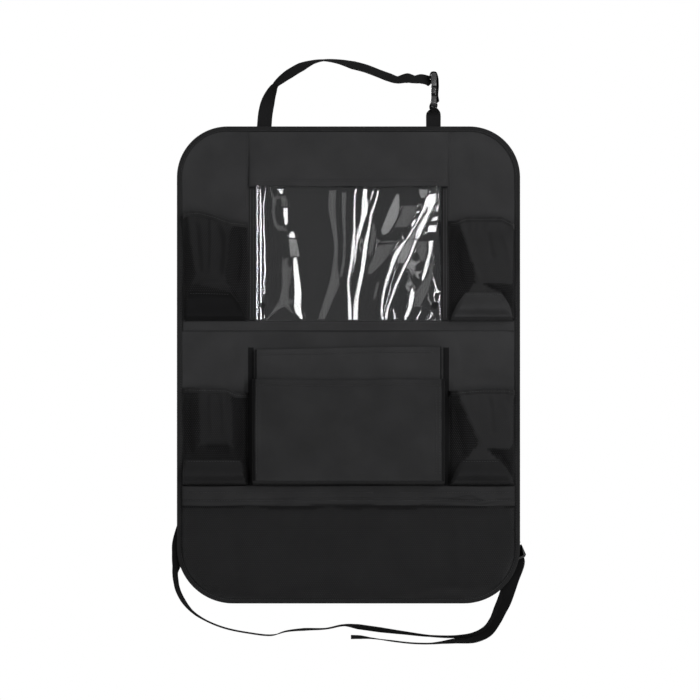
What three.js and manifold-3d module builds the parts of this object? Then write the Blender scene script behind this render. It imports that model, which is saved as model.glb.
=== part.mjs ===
// Car seat back organizer: a padded cloth panel with a clear tablet window, net side pockets,
// two stacked cloth pockets and a full-width net pocket, hung by two webbing straps with buckles.
// Millimetres, +Z up. The pockets face -Y and the panel's back lies at Y = 0.
// The origin is where the headrest strap hangs: on the panel's centre line, at the loop's top.
import * as THREE from 'three';
import { mergeVertices } from 'three/addons/utils/BufferGeometryUtils.js';
import Module from 'manifold-3d';

// Panel and its binding
const PANEL_WIDTH = 446; // over the binding
const PANEL_HEIGHT = 620; // over the binding
const TOP_RADIUS = 66;
const BOTTOM_RADIUS = 73;
const PANEL_THICKNESS = 2;
const BINDING_REACH = 7; // how far the binding laps over the panel
const BINDING_THICKNESS = 1;
const ARC_STEPS = 12;

// Cloth, film, net and the gap left between sewn pieces
const CLOTH = 1.2;
const FILM = 0.8;
const NET = 1.2;
const GAP = 0.4;

// Heights, measured down from the panel's top edge
const LOOP_RISE = 89; // the strap loop's top above the panel's top edge
const FLAP_HEM = 79;
const FILM_TUCK = 9; // the film's top edge above the flap's hem
const UPPER_NET_TOP = 118;
const SEAM_TAPE_TOP = 253;
const SEAM_TAPE_HEIGHT = 13;
const REAR_POCKET_TOP = 287;
const FRONT_POCKET_TOP = 327;
const LOWER_NET_TOP = 341;
const BOTTOM_POCKET_TOP = 467;
const BOTTOM_BAND_HEIGHT = 25;

// Widths
const WINDOW_WIDTH = 242;
const BORDER_WIDTH = 8;
const REAR_POCKET_INSET = 9; // narrower at each side than the window's column
const FRONT_POCKET_INSET = 5;

// How far each pocket stands off the panel
const FLAP_DEPTH = 8.6;
const FILM_DEPTH = 6.8;
const REAR_POCKET_DEPTH = 14;
const FRONT_POCKET_DEPTH = 30;
const BOTTOM_POCKET_DEPTH = 12;
const NET_MOUTH_DEPTH = 24;
const NET_WAIST_DEPTH = 11;
const NET_BASE_DEPTH = 22;
const SEWN_DEPTH = 1.8; // where a pocket is sewn down
const POCKET_NEST = 7; // the rear pocket's floor above the front pocket's floor

// Side net pockets, from floor to mouth
const NET_BASE_SHARE = 0.27; // cloth part of the height
const ELASTIC_HEIGHT = 7;
const FILM_HOLE_RADIUS = 4;
const FILM_HOLE_INSET = 9.5; // from the window's side
const FILM_HOLE_RISE = 20.5; // above the seam tape

// Webbing
const STRAP_WIDTH = 19;
const STRAP_THICKNESS = 1.3;
const STRAP_SEWN = 26; // length sewn to the panel's back
const TOP_ANCHOR_X = -110;
const TOP_LOOP_BULGE = 10; // how far the top loop swings behind the panel's plane
const BOTTOM_LOOP_DROP = 50; // how far the bottom loop hangs below the panel
const BOTTOM_LOOP_DEPTH = 6; // how far behind the panel it hangs
const BOTTOM_TAIL_DEPTH = 3;
const TAB_SPREAD = 1.1; // half the distance between a tab's two layers where it is sewn
const TAB_OPEN = 0.9; // share of its free length over which a tab opens to clear the buckle

// Side-release buckle, laid along its length from the ladder's end
const BUCKLE_WIDTH = 27;
const BUCKLE_THICKNESS = 6.6;
const OUTER_BAR = 3.5;
const SLOT = 3.6;
const CENTRE_BAR = 2.6;
const CENTRE_BAR_DEPTH = 3;
const SHOULDER = 4;
const GRIP_LENGTH = 11.5;
const GRIP_THICKNESS = 4.4;
const SLOT_WIDTH = 20.4;
const PRONG_WIDTH = 4.4;
const WAIST_WIDTH = 20.6;
const HOUSING_FLOOR = 4;
const BASE_BAR = 2.4;
const CORNER = 3;

// Where the buckles are
const TOP_BUCKLE_X = 110.5;
const TOP_BUCKLE_DROP = 20; // ladder's end below the loop's top
const BOTTOM_BUCKLE_INSET = 3; // ladder's end inside the panel's side
const BOTTOM_BUCKLE_RISE = 55; // ladder's end above the panel's bottom edge
const BOTTOM_BUCKLE_TILT = 24; // degrees
const BOTTOM_TAB_FREE = 8; // from its stitching to the buckle

// Places that follow from the sizes above
const PANEL_TOP = -LOOP_RISE;
const PANEL_BOTTOM = PANEL_TOP - PANEL_HEIGHT;
const PANEL_FRONT = -PANEL_THICKNESS;
const BINDING_BACK = GAP + BINDING_THICKNESS;
const INSIDE_HALF = PANEL_WIDTH / 2 - BINDING_REACH - GAP;
const COLUMN_HALF = WINDOW_WIDTH / 2 + GAP + BORDER_WIDTH; // window and its borders
const STRAP_PLANE = BINDING_BACK + GAP + STRAP_THICKNESS / 2;
const SLOT_B = OUTER_BAR + SLOT / 2; // the ladder's outer slot
const SLOT_A = OUTER_BAR + SLOT + CENTRE_BAR + SLOT / 2; // the ladder's inner slot
const LADDER_LENGTH = OUTER_BAR + 2 * SLOT + CENTRE_BAR + SHOULDER;
const HOUSING_START = LADDER_LENGTH + GAP;
const GRIP_END = HOUSING_START + GRIP_LENGTH;
const CAVITY_END = GRIP_END + HOUSING_FLOOR;
const TAB_SLOT = CAVITY_END + HOUSING_FLOOR + SLOT / 2;
const BUCKLE_LENGTH = TAB_SLOT + SLOT / 2 + BASE_BAR;
const LAY = STRAP_THICKNESS / 2 + GAP; // from a bar's face to the middle of webbing round it
const TOP_BUCKLE_DEPTH = STRAP_PLANE + TAB_SPREAD;
const BOTTOM_BUCKLE_DEPTH = BINDING_BACK + BUCKLE_THICKNESS / 2 + STRAP_THICKNESS + 2 * GAP;

// Colours
const BLACK_CLOTH = new THREE.MeshStandardMaterial({ color: 0x252527, roughness: 0.85 });
const BLACK_NET = new THREE.MeshStandardMaterial({ color: 0x1b1b1d, roughness: 0.9 });
const BLACK_WEBBING = new THREE.MeshStandardMaterial({ color: 0x1d1d1f, roughness: 0.8 });
const BLACK_PLASTIC = new THREE.MeshStandardMaterial({ color: 0x111112, roughness: 0.3 });
const BORDER_VINYL = new THREE.MeshStandardMaterial({ color: 0x202022, roughness: 0.6 });
const CLEAR_FILM = new THREE.MeshStandardMaterial({
  color: 0xdfe3e6,
  roughness: 0.08,
  transparent: true,
  opacity: 0.3,
});

const wasm = await Module();
wasm.setup();

const group = new THREE.Group();

function add(name, geometry, material) {
  geometry.computeVertexNormals();
  const mesh = new THREE.Mesh(geometry, material.clone());
  mesh.name = name;
  group.add(mesh);
  return mesh;
}

// Solids for joining and cutting
function toSolid(geometry) {
  const plain = geometry.clone();
  plain.deleteAttribute('normal');
  plain.deleteAttribute('uv');
  const merged = mergeVertices(plain, 1e-4);
  return new wasm.Manifold(
    new wasm.Mesh({
      numProp: 3,
      vertProperties: new Float32Array(merged.attributes.position.array),
      triVerts: new Uint32Array(merged.index.array),
    }),
  );
}

function toGeometry(solid) {
  const mesh = solid.getMesh();
  const geometry = new THREE.BufferGeometry();
  geometry.setAttribute('position', new THREE.BufferAttribute(mesh.vertProperties, 3));
  geometry.setIndex(new THREE.BufferAttribute(mesh.triVerts, 1));
  return geometry;
}

// A bent slab: place(u, v, w) puts each point, u across and v up from 0 to 1, w from front to back
function sheet(columns, rows, place) {
  const geometry = new THREE.BoxGeometry(1, 1, 1, columns, 1, rows);
  const position = geometry.attributes.position;
  for (let i = 0; i < position.count; i++) {
    const u = position.getX(i) + 0.5;
    const w = position.getY(i) + 0.5;
    const v = position.getZ(i) + 0.5;
    position.setXYZ(i, ...place(u, v, w).toArray());
  }
  return geometry;
}

// A value read smoothly between keys of [place, value]
function between(keys, at) {
  const last = keys.findIndex(([place]) => place >= at);
  if (last <= 0) return keys[last === 0 ? 0 : keys.length - 1][1];
  const [lowPlace, low] = keys[last - 1];
  const [highPlace, high] = keys[last];
  const share = THREE.MathUtils.smoothstep(at, lowPlace, highPlace);
  return THREE.MathUtils.lerp(low, high, share);
}

// The rounded panel: half its width at a height, when it is drawn in by an inset
function halfWidth(z, inset) {
  const half = PANEL_WIDTH / 2 - inset;
  const topRadius = TOP_RADIUS - inset;
  const bottomRadius = BOTTOM_RADIUS - inset;
  const above = z - (PANEL_TOP - inset - topRadius);
  const below = PANEL_BOTTOM + inset + bottomRadius - z;
  if (above > 0) return half - topRadius + Math.sqrt(Math.max(topRadius ** 2 - above ** 2, 0));
  if (below > 0) return half - bottomRadius + Math.sqrt(Math.max(bottomRadius ** 2 - below ** 2, 0));
  return half;
}

// Heights of a rounded panel's rows: equal angles in the corners, equal steps between them
function rowHeight(step, straightSteps, inset) {
  const quarter = Math.PI / 2 / ARC_STEPS;
  const topRadius = TOP_RADIUS - inset;
  const bottomRadius = BOTTOM_RADIUS - inset;
  const low = PANEL_BOTTOM + inset + bottomRadius;
  const high = PANEL_TOP - inset - topRadius;
  if (step <= ARC_STEPS) return low - bottomRadius * Math.cos(step * quarter);
  const past = step - ARC_STEPS - straightSteps;
  if (past >= 0) return high + topRadius * Math.sin(past * quarter);
  return THREE.MathUtils.lerp(low, high, (step - ARC_STEPS) / straightSteps);
}

function panelOutline(inset) {
  const right = [];
  for (let step = 0; step <= 2 * ARC_STEPS + 1; step++) {
    const z = rowHeight(step, 1, inset);
    right.push(new THREE.Vector2(halfWidth(z, inset), z));
  }
  const left = right.map((p) => new THREE.Vector2(-p.x, p.y)).reverse();
  return [...right, ...left];
}

// A plate in the XZ plane between two depths, with an outline and perhaps a hole
function plate(outline, front, back, hole) {
  const shape = new THREE.Shape(outline);
  if (hole) shape.holes.push(new THREE.Path(hole));
  const geometry = new THREE.ExtrudeGeometry(shape, { depth: back - front, bevelEnabled: false });
  geometry.rotateX(Math.PI / 2);
  geometry.translate(0, back, 0);
  return geometry;
}

function backPanel() {
  const inset = BINDING_THICKNESS + GAP;
  const straightSteps = 8;
  const rows = 2 * ARC_STEPS + straightSteps;
  return sheet(5, rows, (u, v, w) => {
    const z = rowHeight(Math.round(v * rows), straightSteps, inset);
    const x = (2 * u - 1) * halfWidth(z, inset);
    return new THREE.Vector3(x, PANEL_FRONT * (1 - w), z);
  });
}

// Tape folded over the panel's edge: a ring with a slot that takes the panel
function edgeBinding() {
  const ring = plate(
    panelOutline(0),
    PANEL_FRONT - BINDING_BACK,
    BINDING_BACK,
    panelOutline(BINDING_REACH),
  );
  const slot = plate(panelOutline(BINDING_THICKNESS), PANEL_FRONT - GAP, GAP);
  return toGeometry(toSolid(ring).subtract(toSolid(slot)));
}

// A pocket's wall: it rises from the panel at both sides and stands depth(v) off it between them.
// Its rows crowd towards the floor by a power, where the floor's fold is tight.
function pocketWall(pocket, thickness, columns, rows, from = 0, to = 1) {
  return sheet(columns, rows, (u, v, w) => {
    const height = THREE.MathUtils.lerp(from, to, v ** (pocket.crowd ?? 1));
    const inset = thickness * w;
    const z = THREE.MathUtils.lerp(pocket.floor, pocket.mouth, height);
    const angle = Math.PI * (1 - u);
    const square = pocket.square(height);
    const reach = Math.sign(Math.cos(angle)) * Math.abs(Math.cos(angle)) ** square;
    const rise = Math.abs(Math.sin(angle)) ** square;
    const x = pocket.centre + (pocket.half(z) - inset) * reach;
    const y = PANEL_FRONT - GAP - (pocket.depth(height) - inset) * rise;
    return new THREE.Vector3(x, y, z);
  });
}

function topFlap() {
  const flap = {
    centre: 0,
    floor: PANEL_TOP - FLAP_HEM,
    mouth: PANEL_TOP - BINDING_REACH - GAP,
    half: () => COLUMN_HALF,
    square: () => 0.3,
    depth: (v) => between([[0, FLAP_DEPTH], [0.4, FLAP_DEPTH], [1, SEWN_DEPTH]], v),
  };
  return pocketWall(flap, CLOTH, 12, 5);
}

function tabletFilm() {
  const film = {
    centre: 0,
    floor: PANEL_TOP - SEAM_TAPE_TOP + GAP,
    mouth: PANEL_TOP - FLAP_HEM + FILM_TUCK,
    half: () => WINDOW_WIDTH / 2,
    square: () => 0.35,
    depth: (v) => between([[0, SEWN_DEPTH], [0.12, FILM_DEPTH], [1, FILM_DEPTH]], v),
  };
  let solid = toSolid(pocketWall(film, FILM, 14, 8));
  for (const side of [-1, 1]) {
    const punch = new THREE.CylinderGeometry(
      FILM_HOLE_RADIUS, FILM_HOLE_RADIUS, FILM_DEPTH, 16,
    );
    const x = side * (WINDOW_WIDTH / 2 - FILM_HOLE_INSET);
    punch.translate(x, PANEL_FRONT - FILM_DEPTH, PANEL_TOP - SEAM_TAPE_TOP + FILM_HOLE_RISE);
    solid = solid.subtract(toSolid(punch));
  }
  return toGeometry(solid);
}

function flatStrip(left, right, bottom, top, thickness) {
  const front = PANEL_FRONT - GAP - thickness;
  const strip = new THREE.BoxGeometry(right - left, thickness, top - bottom);
  strip.translate((left + right) / 2, front + thickness / 2, (bottom + top) / 2);
  return strip;
}

function windowBorder(side) {
  const near = WINDOW_WIDTH / 2 + GAP;
  const [left, right] = [near, near + BORDER_WIDTH].map((x) => side * x).sort((a, b) => a - b);
  const bottom = PANEL_TOP - SEAM_TAPE_TOP + GAP;
  return flatStrip(left, right, bottom, PANEL_TOP - FLAP_HEM - GAP, CLOTH);
}

function seamTape() {
  const top = PANEL_TOP - SEAM_TAPE_TOP;
  return flatStrip(-INSIDE_HALF, INSIDE_HALF, top - SEAM_TAPE_HEIGHT, top, CLOTH);
}

// A net pocket at one side of the panel, between the window's border and the binding
function sidePocket(side, mouthDrop, floorDrop) {
  const inner = COLUMN_HALF + GAP;
  const depthKeys = [
    [0, SEWN_DEPTH],
    [0.04, NET_BASE_DEPTH * 0.7],
    [0.12, NET_BASE_DEPTH],
    [NET_BASE_SHARE, NET_WAIST_DEPTH],
    [0.65, (NET_WAIST_DEPTH + NET_MOUTH_DEPTH) / 2],
    [1, NET_MOUTH_DEPTH],
  ];
  return {
    centre: (side * (inner + INSIDE_HALF)) / 2,
    floor: PANEL_TOP - floorDrop + GAP,
    mouth: PANEL_TOP - mouthDrop,
    half: () => (INSIDE_HALF - inner) / 2,
    square: (v) => between([[0, 0.5], [NET_BASE_SHARE, 1.1], [1, 0.6]], v),
    depth: (v) => between(depthKeys, v),
  };
}

function addSidePocket(name, pocket) {
  const height = pocket.mouth - pocket.floor;
  const seam = GAP / height;
  const elastic = 1 - ELASTIC_HEIGHT / height;
  add(`${name}_base`, pocketWall(pocket, CLOTH, 10, 6, 0, NET_BASE_SHARE), BLACK_CLOTH);
  add(`${name}_net`, pocketWall(pocket, NET, 10, 8, NET_BASE_SHARE + seam, elastic - seam), BLACK_NET);
  add(`${name}_elastic`, pocketWall(pocket, CLOTH, 10, 1, elastic, 1), BLACK_CLOTH);
}

function rearPocket() {
  const rear = {
    centre: 0,
    floor: PANEL_TOP - BOTTOM_POCKET_TOP + GAP + POCKET_NEST,
    mouth: PANEL_TOP - REAR_POCKET_TOP,
    half: () => COLUMN_HALF - REAR_POCKET_INSET,
    crowd: 2,
    square: () => 0.3,
    depth: (v) => between([[0, SEWN_DEPTH], [0.06, REAR_POCKET_DEPTH], [1, REAR_POCKET_DEPTH]], v),
  };
  return pocketWall(rear, CLOTH, 14, 8);
}

function frontPocket() {
  const front = {
    centre: 0,
    floor: PANEL_TOP - BOTTOM_POCKET_TOP + GAP,
    mouth: PANEL_TOP - FRONT_POCKET_TOP,
    half: () => COLUMN_HALF - FRONT_POCKET_INSET,
    crowd: 2,
    square: () => 0.3,
    depth: (v) => between([[0, SEWN_DEPTH], [0.06, FRONT_POCKET_DEPTH], [1, FRONT_POCKET_DEPTH]], v),
  };
  return pocketWall(front, CLOTH, 14, 8);
}

// The full-width pocket at the foot: its net follows the panel's round corners, under a cloth band
function addBottomPocket() {
  const inset = BINDING_REACH + GAP;
  const pocket = {
    centre: 0,
    floor: PANEL_BOTTOM + inset,
    mouth: PANEL_TOP - BOTTOM_POCKET_TOP,
    half: (z) => halfWidth(z, inset),
    square: () => 0.25,
    depth: (v) => between([[0, SEWN_DEPTH], [0.3, BOTTOM_POCKET_DEPTH], [1, BOTTOM_POCKET_DEPTH]], v),
  };
  const height = pocket.mouth - pocket.floor;
  const band = 1 - BOTTOM_BAND_HEIGHT / height;
  add('bottom_pocket_band', pocketWall(pocket, CLOTH, 16, 2, band, 1), BLACK_CLOTH);
  add('bottom_pocket_net', pocketWall(pocket, NET, 16, 12, 0, band - GAP / height), BLACK_NET);
}

// Webbing along a route: each stop has a point, and a side that its width follows
function webbing(route, stepsEach) {
  const curve = new THREE.CatmullRomCurve3(route.map((stop) => stop.point), false, 'centripetal');
  const last = route.length - 1;
  const sides = route.map((stop, i) => stop.side ?? turned(curve.getTangent(i / last), stop.turn));
  return sheet(1, last * stepsEach, (u, v, w) => {
    const stop = Math.min(Math.floor(v * last + 1e-9), last - 1);
    const tangent = curve.getTangent(v);
    const side = sides[stop].clone().lerp(sides[stop + 1], v * last - stop);
    side.addScaledVector(tangent, -side.dot(tangent)).normalize();
    const normal = new THREE.Vector3().crossVectors(tangent, side);
    return curve.getPoint(v)
      .addScaledVector(side, (u - 0.5) * STRAP_WIDTH)
      .addScaledVector(normal, (w - 0.5) * STRAP_THICKNESS);
  });
}

// Webbing's side when it is turned by an angle about its run: flat to the front at 0 and 180
function turned(tangent, degrees) {
  const angle = THREE.MathUtils.degToRad(degrees);
  const depthwise = new THREE.Vector3(0, 1, 0);
  const flat = new THREE.Vector3().crossVectors(tangent, depthwise).normalize();
  return flat.multiplyScalar(Math.cos(angle)).addScaledVector(depthwise, Math.sin(angle));
}

// A buckle's place: end is the ladder's end, along runs to its base, across its width
function buckleFrame(end, along, through) {
  return { end, along, through, across: new THREE.Vector3().crossVectors(through, along) };
}

function stopAt(frame, through, along) {
  const point = frame.end.clone()
    .addScaledVector(frame.through, through)
    .addScaledVector(frame.along, along);
  return { point, side: frame.across };
}

// Webbing through the inner slot, round the centre bar and back through the outer slot
function ladderStops(frame) {
  const bar = CENTRE_BAR_DEPTH / 2 + LAY;
  return [
    stopAt(frame, 0, SLOT_A),
    stopAt(frame, bar * 0.9, (SLOT_A + SLOT_B) / 2 + SLOT * 0.6),
    stopAt(frame, bar, (SLOT_A + SLOT_B) / 2),
    stopAt(frame, bar * 0.9, (SLOT_A + SLOT_B) / 2 - SLOT * 0.6),
    stopAt(frame, 0, SLOT_B),
  ];
}

const topBuckle = buckleFrame(
  new THREE.Vector3(TOP_BUCKLE_X, TOP_BUCKLE_DEPTH, -TOP_BUCKLE_DROP),
  new THREE.Vector3(0, 0, -1),
  new THREE.Vector3(1, 0, 0),
);

function topStrap() {
  // Share of the way from anchor to buckle, share of the loop's rise, share of bulge, turn in degrees
  const loop = [
    [0.002, 0.005, 0, 0],
    [0.008, 0.18, 0, 4],
    [0.02, 0.33, 0, 14],
    [0.034, 0.46, 0, 42],
    [0.056, 0.57, 0.1, 74],
    [0.09, 0.67, 0.2, 102],
    [0.15, 0.78, 0.4, 122],
    [0.22, 0.885, 0.6, 122],
    [0.285, 0.955, 0.8, 104],
    [0.365, 0.985, 0.9, 91],
    [0.45, 0.955, 0.9, 100],
    [0.54, 0.9, 0.8, 121],
    [0.635, 0.825, 0.6, 121],
    [0.73, 0.725, 0.4, 112],
    [0.79, 0.67, 0.2, 114],
    [0.85, 0.68, 0.1, 121],
    [0.915, 0.665, 0, 116],
  ];
  const span = TOP_BUCKLE_X - TOP_ANCHOR_X;
  const stops = loop.map(([share, rise, bulge, turn]) => ({
    point: new THREE.Vector3(
      TOP_ANCHOR_X + share * span,
      STRAP_PLANE + bulge * TOP_LOOP_BULGE,
      PANEL_TOP + rise * LOOP_RISE,
    ),
    turn,
  }));
  const sewn = {
    point: new THREE.Vector3(TOP_ANCHOR_X - 1.5, STRAP_PLANE, PANEL_TOP - STRAP_SEWN),
    turn: 0,
  };
  const face = BUCKLE_THICKNESS / 2 + LAY;
  const tail = face + STRAP_THICKNESS + GAP;
  const before = [stopAt(topBuckle, -face - 3, SLOT_A - 0.5)];
  const after = [
    stopAt(topBuckle, -face * 0.85, SLOT_B - 0.6),
    stopAt(topBuckle, -face, OUTER_BAR * 0.5),
    stopAt(topBuckle, -face * 0.62, -LAY * 0.8),
    stopAt(topBuckle, 0, -LAY * 1.5),
    stopAt(topBuckle, face * 0.7, -LAY * 0.5),
    stopAt(topBuckle, face * 1.1, OUTER_BAR),
    stopAt(topBuckle, tail, SLOT_A - SLOT),
    stopAt(topBuckle, tail, LADDER_LENGTH + 2),
    stopAt(topBuckle, tail * 0.97, GRIP_END),
    stopAt(topBuckle, tail * 1.05, TAB_SLOT - SLOT / 2),
  ];
  return [sewn, ...stops, ...before, ...ladderStops(topBuckle), ...after];
}

const tilt = THREE.MathUtils.degToRad(BOTTOM_BUCKLE_TILT);
const bottomBuckle = buckleFrame(
  new THREE.Vector3(
    PANEL_WIDTH / 2 - BOTTOM_BUCKLE_INSET,
    BOTTOM_BUCKLE_DEPTH,
    PANEL_BOTTOM + BOTTOM_BUCKLE_RISE,
  ),
  new THREE.Vector3(-Math.sin(tilt), 0, Math.cos(tilt)),
  new THREE.Vector3(0, -1, 0),
);

// Stops given as shares of the panel's half width, of the loop's drop and of a depth, and a turn
function belowPanel(rows, depth) {
  return rows.map(([share, drop, back, turn]) => ({
    point: new THREE.Vector3(
      (share * PANEL_WIDTH) / 2,
      STRAP_PLANE + back * depth,
      PANEL_BOTTOM - drop * BOTTOM_LOOP_DROP,
    ),
    turn,
  }));
}

function bottomStrap() {
  const main = belowPanel([
    [-0.945, -2.16, 0, 180],
    [-0.97, -1.84, 0, 181],
    [-0.987, -1.54, 0.08, 184],
    [-0.988, -1.24, 0.25, 188],
    [-0.992, -0.98, 0.42, 206],
    [-1.001, -0.76, 0.5, 238],
    [-1.006, -0.56, 0.67, 259],
    [-1.0, -0.34, 0.83, 267],
    [-0.965, -0.04, 1, 272],
    [-0.912, 0.24, 1, 275],
    [-0.837, 0.46, 1, 278],
    [-0.726, 0.66, 1, 278],
    [-0.586, 0.79, 1, 278],
    [-0.446, 0.85, 1, 278],
    [-0.365, 0.75, 1, 279],
    [-0.26, 0.7, 1, 283],
    [-0.131, 0.68, 1, 280],
    [-0.026, 0.59, 1, 284],
    [0.056, 0.63, 1, 290],
    [0.184, 0.71, 1, 287],
    [0.324, 0.79, 1, 284],
    [0.475, 0.87, 1, 283],
    [0.621, 0.89, 1, 287],
    [0.732, 0.84, 1, 297],
    [0.808, 0.68, 1, 306],
    [0.854, 0.43, 1, 314],
    [0.886, 0.17, 1, 327],
    [0.909, -0.04, 1, 340],
    [0.93, -0.3, 1.08, 352],
    [0.953, -0.6, 1.25, 358],
  ], BOTTOM_LOOP_DEPTH);
  const face = BUCKLE_THICKNESS / 2 + LAY;
  const load = face + STRAP_THICKNESS + GAP;
  const before = [
    stopAt(bottomBuckle, -load, -2),
    stopAt(bottomBuckle, -load * 0.95, OUTER_BAR),
    stopAt(bottomBuckle, -load * 0.55, SLOT_A - SLOT * 0.4),
  ];
  const after = [
    stopAt(bottomBuckle, -face * 0.84, SLOT_B - SLOT * 0.1),
    stopAt(bottomBuckle, -face, OUTER_BAR * 0.5),
    stopAt(bottomBuckle, -face, -2),
  ];
  const tail = belowPanel([
    [0.953, -0.6, 1.53, 178],
    [0.93, -0.3, 1.33, 172],
    [0.909, -0.04, 1.2, 160],
    [0.886, 0.18, 1.13, 147],
    [0.856, 0.47, 1, 134],
    [0.813, 0.75, 1, 126],
    [0.735, 0.93, 1, 115],
    [0.624, 0.99, 1, 98],
    [0.48, 1.056, 1, 86],
    [0.37, 1.08, 1, 82],
    [0.25, 1.016, 1, 82],
    [0.13, 0.926, 1, 78],
    [0.07, 0.894, 1, 71],
    [0.014, 0.89, 1, 69],
  ], BOTTOM_TAIL_DEPTH);
  return [...main, ...before, ...ladderStops(bottomBuckle), ...after, ...tail];
}

// A short tab: sewn to the panel's back, up to the buckle's base bar, round it and back down.
// It lies flat where it is sewn, and turns by an angle over its free length.
function tabStops(frame, free, turn) {
  const bar = BUCKLE_THICKNESS / 2 + LAY;
  const upright = new THREE.Vector3(0, 1, 0);
  const flat = new THREE.Vector3().crossVectors(upright, frame.along).normalize();
  const sewnDepth = STRAP_PLANE + TAB_SPREAD - frame.end.y;
  const distances = [free + STRAP_SEWN, free + STRAP_SEWN / 2, free, free * 0.7, free * 0.4, free * 0.1];
  const layer = (side) => distances.map((distance) => {
    const risen = THREE.MathUtils.clamp(1 - distance / free, 0, 1);
    const opened = Math.min(risen / TAB_OPEN, 1);
    const angle = THREE.MathUtils.degToRad(turn * THREE.MathUtils.smoothstep(risen, 0, TAB_OPEN));
    const width = flat.clone().multiplyScalar(Math.cos(angle))
      .addScaledVector(upright, Math.sin(angle));
    const normal = new THREE.Vector3().crossVectors(frame.along, width);
    const point = frame.end.clone()
      .addScaledVector(frame.along, BUCKLE_LENGTH + distance)
      .addScaledVector(upright, sewnDepth * (1 - risen))
      .addScaledVector(normal, side * THREE.MathUtils.lerp(TAB_SPREAD, bar, opened ** 2));
    return { point, side: width };
  });
  const width = layer(1)[distances.length - 1].side;
  const normal = new THREE.Vector3().crossVectors(frame.along, width);
  const bend = [[1, 0.85], [0.9, 0.25], [0.6, 0], [0, -0.05], [-0.6, 0], [-0.9, 0.25], [-1, 0.85]];
  const round = bend.map(([out, down]) => ({
    point: frame.end.clone()
      .addScaledVector(frame.along, TAB_SLOT + SLOT * down)
      .addScaledVector(normal, bar * out),
    side: width,
  }));
  return [...layer(1), ...round, ...layer(-1).reverse()];
}

// Buckle outlines lie in the XZ plane, with the ladder's end at Z = 0 and the base below it
function rectangle(halfAcross, top, bottom) {
  return [
    new THREE.Vector2(-halfAcross, -bottom),
    new THREE.Vector2(halfAcross, -bottom),
    new THREE.Vector2(halfAcross, -top),
    new THREE.Vector2(-halfAcross, -top),
  ];
}

function mirrored(right) {
  const left = right.map(([x, z]) => [-x, z]).reverse();
  return [...right, ...left].map(([x, z]) => new THREE.Vector2(x, -z));
}

function block(outline, thickness) {
  return toSolid(plate(outline, -thickness / 2, thickness / 2));
}

// Its edge profile, rounded at the ladder's end, as a bar across the buckle
function roundedProfile(length, thickness) {
  const half = thickness / 2;
  const shape = new THREE.Shape();
  shape.moveTo(-half, -length);
  shape.lineTo(half, -length);
  shape.lineTo(half, -half);
  shape.absarc(0, -half, half, 0, Math.PI, false);
  const bar = new THREE.ExtrudeGeometry(shape, {
    depth: BUCKLE_WIDTH + 2, bevelEnabled: false, curveSegments: 6,
  });
  bar.translate(0, 0, -BUCKLE_WIDTH / 2 - 1);
  bar.applyMatrix4(new THREE.Matrix4().makeBasis(
    new THREE.Vector3(0, 1, 0), new THREE.Vector3(0, 0, 1), new THREE.Vector3(1, 0, 0),
  ));
  return toSolid(bar);
}

function buckleMale() {
  const half = BUCKLE_WIDTH / 2;
  const frame = block(mirrored([
    [half - CORNER, 0], [half, CORNER], [half, LADDER_LENGTH],
  ].reverse()), BUCKLE_THICKNESS);
  const ladder = frame.intersect(roundedProfile(LADDER_LENGTH, BUCKLE_THICKNESS));
  const outer = block(rectangle(SLOT_WIDTH / 2, OUTER_BAR, OUTER_BAR + SLOT), BUCKLE_THICKNESS + 1);
  const inner = block(
    rectangle(SLOT_WIDTH / 2, SLOT_A - SLOT / 2, SLOT_A + SLOT / 2), BUCKLE_THICKNESS + 1,
  );
  const thinning = block(
    rectangle(SLOT_WIDTH / 2, OUTER_BAR, SLOT_A + SLOT / 2), BUCKLE_THICKNESS + 1,
  ).subtract(block(rectangle(SLOT_WIDTH / 2 + 1, 0, LADDER_LENGTH), CENTRE_BAR_DEPTH));
  let male = ladder.subtract(outer).subtract(inner).subtract(thinning);
  const arm = [
    [half - CORNER, LADDER_LENGTH - 0.5],
    [half, LADDER_LENGTH + GRIP_LENGTH * 0.35],
    [half, GRIP_END - GAP - 2],
    [half - CORNER, GRIP_END + GAP],
    [half - CORNER, GRIP_END + HOUSING_FLOOR / 2],
    [half - CORNER - 2.2, GRIP_END + HOUSING_FLOOR / 2],
    [half - CORNER - 1.6, LADDER_LENGTH + GRIP_LENGTH * 0.4],
    [half - CORNER - 3.4, LADDER_LENGTH - 0.5],
  ];
  for (const side of [-1, 1]) {
    const outline = arm.map(([x, z]) => new THREE.Vector2(side * x, -z));
    male = male.add(block(side > 0 ? outline.reverse() : outline, GRIP_THICKNESS));
  }
  male = male.add(block(
    rectangle(PRONG_WIDTH / 2, LADDER_LENGTH - 0.5, CAVITY_END - 1), GRIP_THICKNESS * 0.7,
  ));
  return toGeometry(male);
}

function buckleFemale() {
  const half = BUCKLE_WIDTH / 2;
  const waist = WAIST_WIDTH / 2;
  const body = block(mirrored([
    [waist, HOUSING_START],
    [waist, GRIP_END - 1],
    [half, GRIP_END + 1.5],
    [half, BUCKLE_LENGTH - CORNER],
    [half - CORNER, BUCKLE_LENGTH],
  ].reverse()), BUCKLE_THICKNESS);
  const cavityHalf = half - CORNER + 1;
  const cavity = block(
    rectangle(cavityHalf, HOUSING_START - 1, CAVITY_END), GRIP_THICKNESS + 2 * GAP,
  );
  const slot = block(
    rectangle(SLOT_WIDTH / 2, TAB_SLOT - SLOT / 2, TAB_SLOT + SLOT / 2), BUCKLE_THICKNESS + 1,
  );
  return toGeometry(body.subtract(cavity).subtract(slot));
}

function placeBuckle(mesh, frame) {
  const down = frame.along.clone().negate();
  mesh.quaternion.setFromRotationMatrix(
    new THREE.Matrix4().makeBasis(frame.across, new THREE.Vector3().crossVectors(down, frame.across), down),
  );
  mesh.position.copy(frame.end);
}

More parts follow.
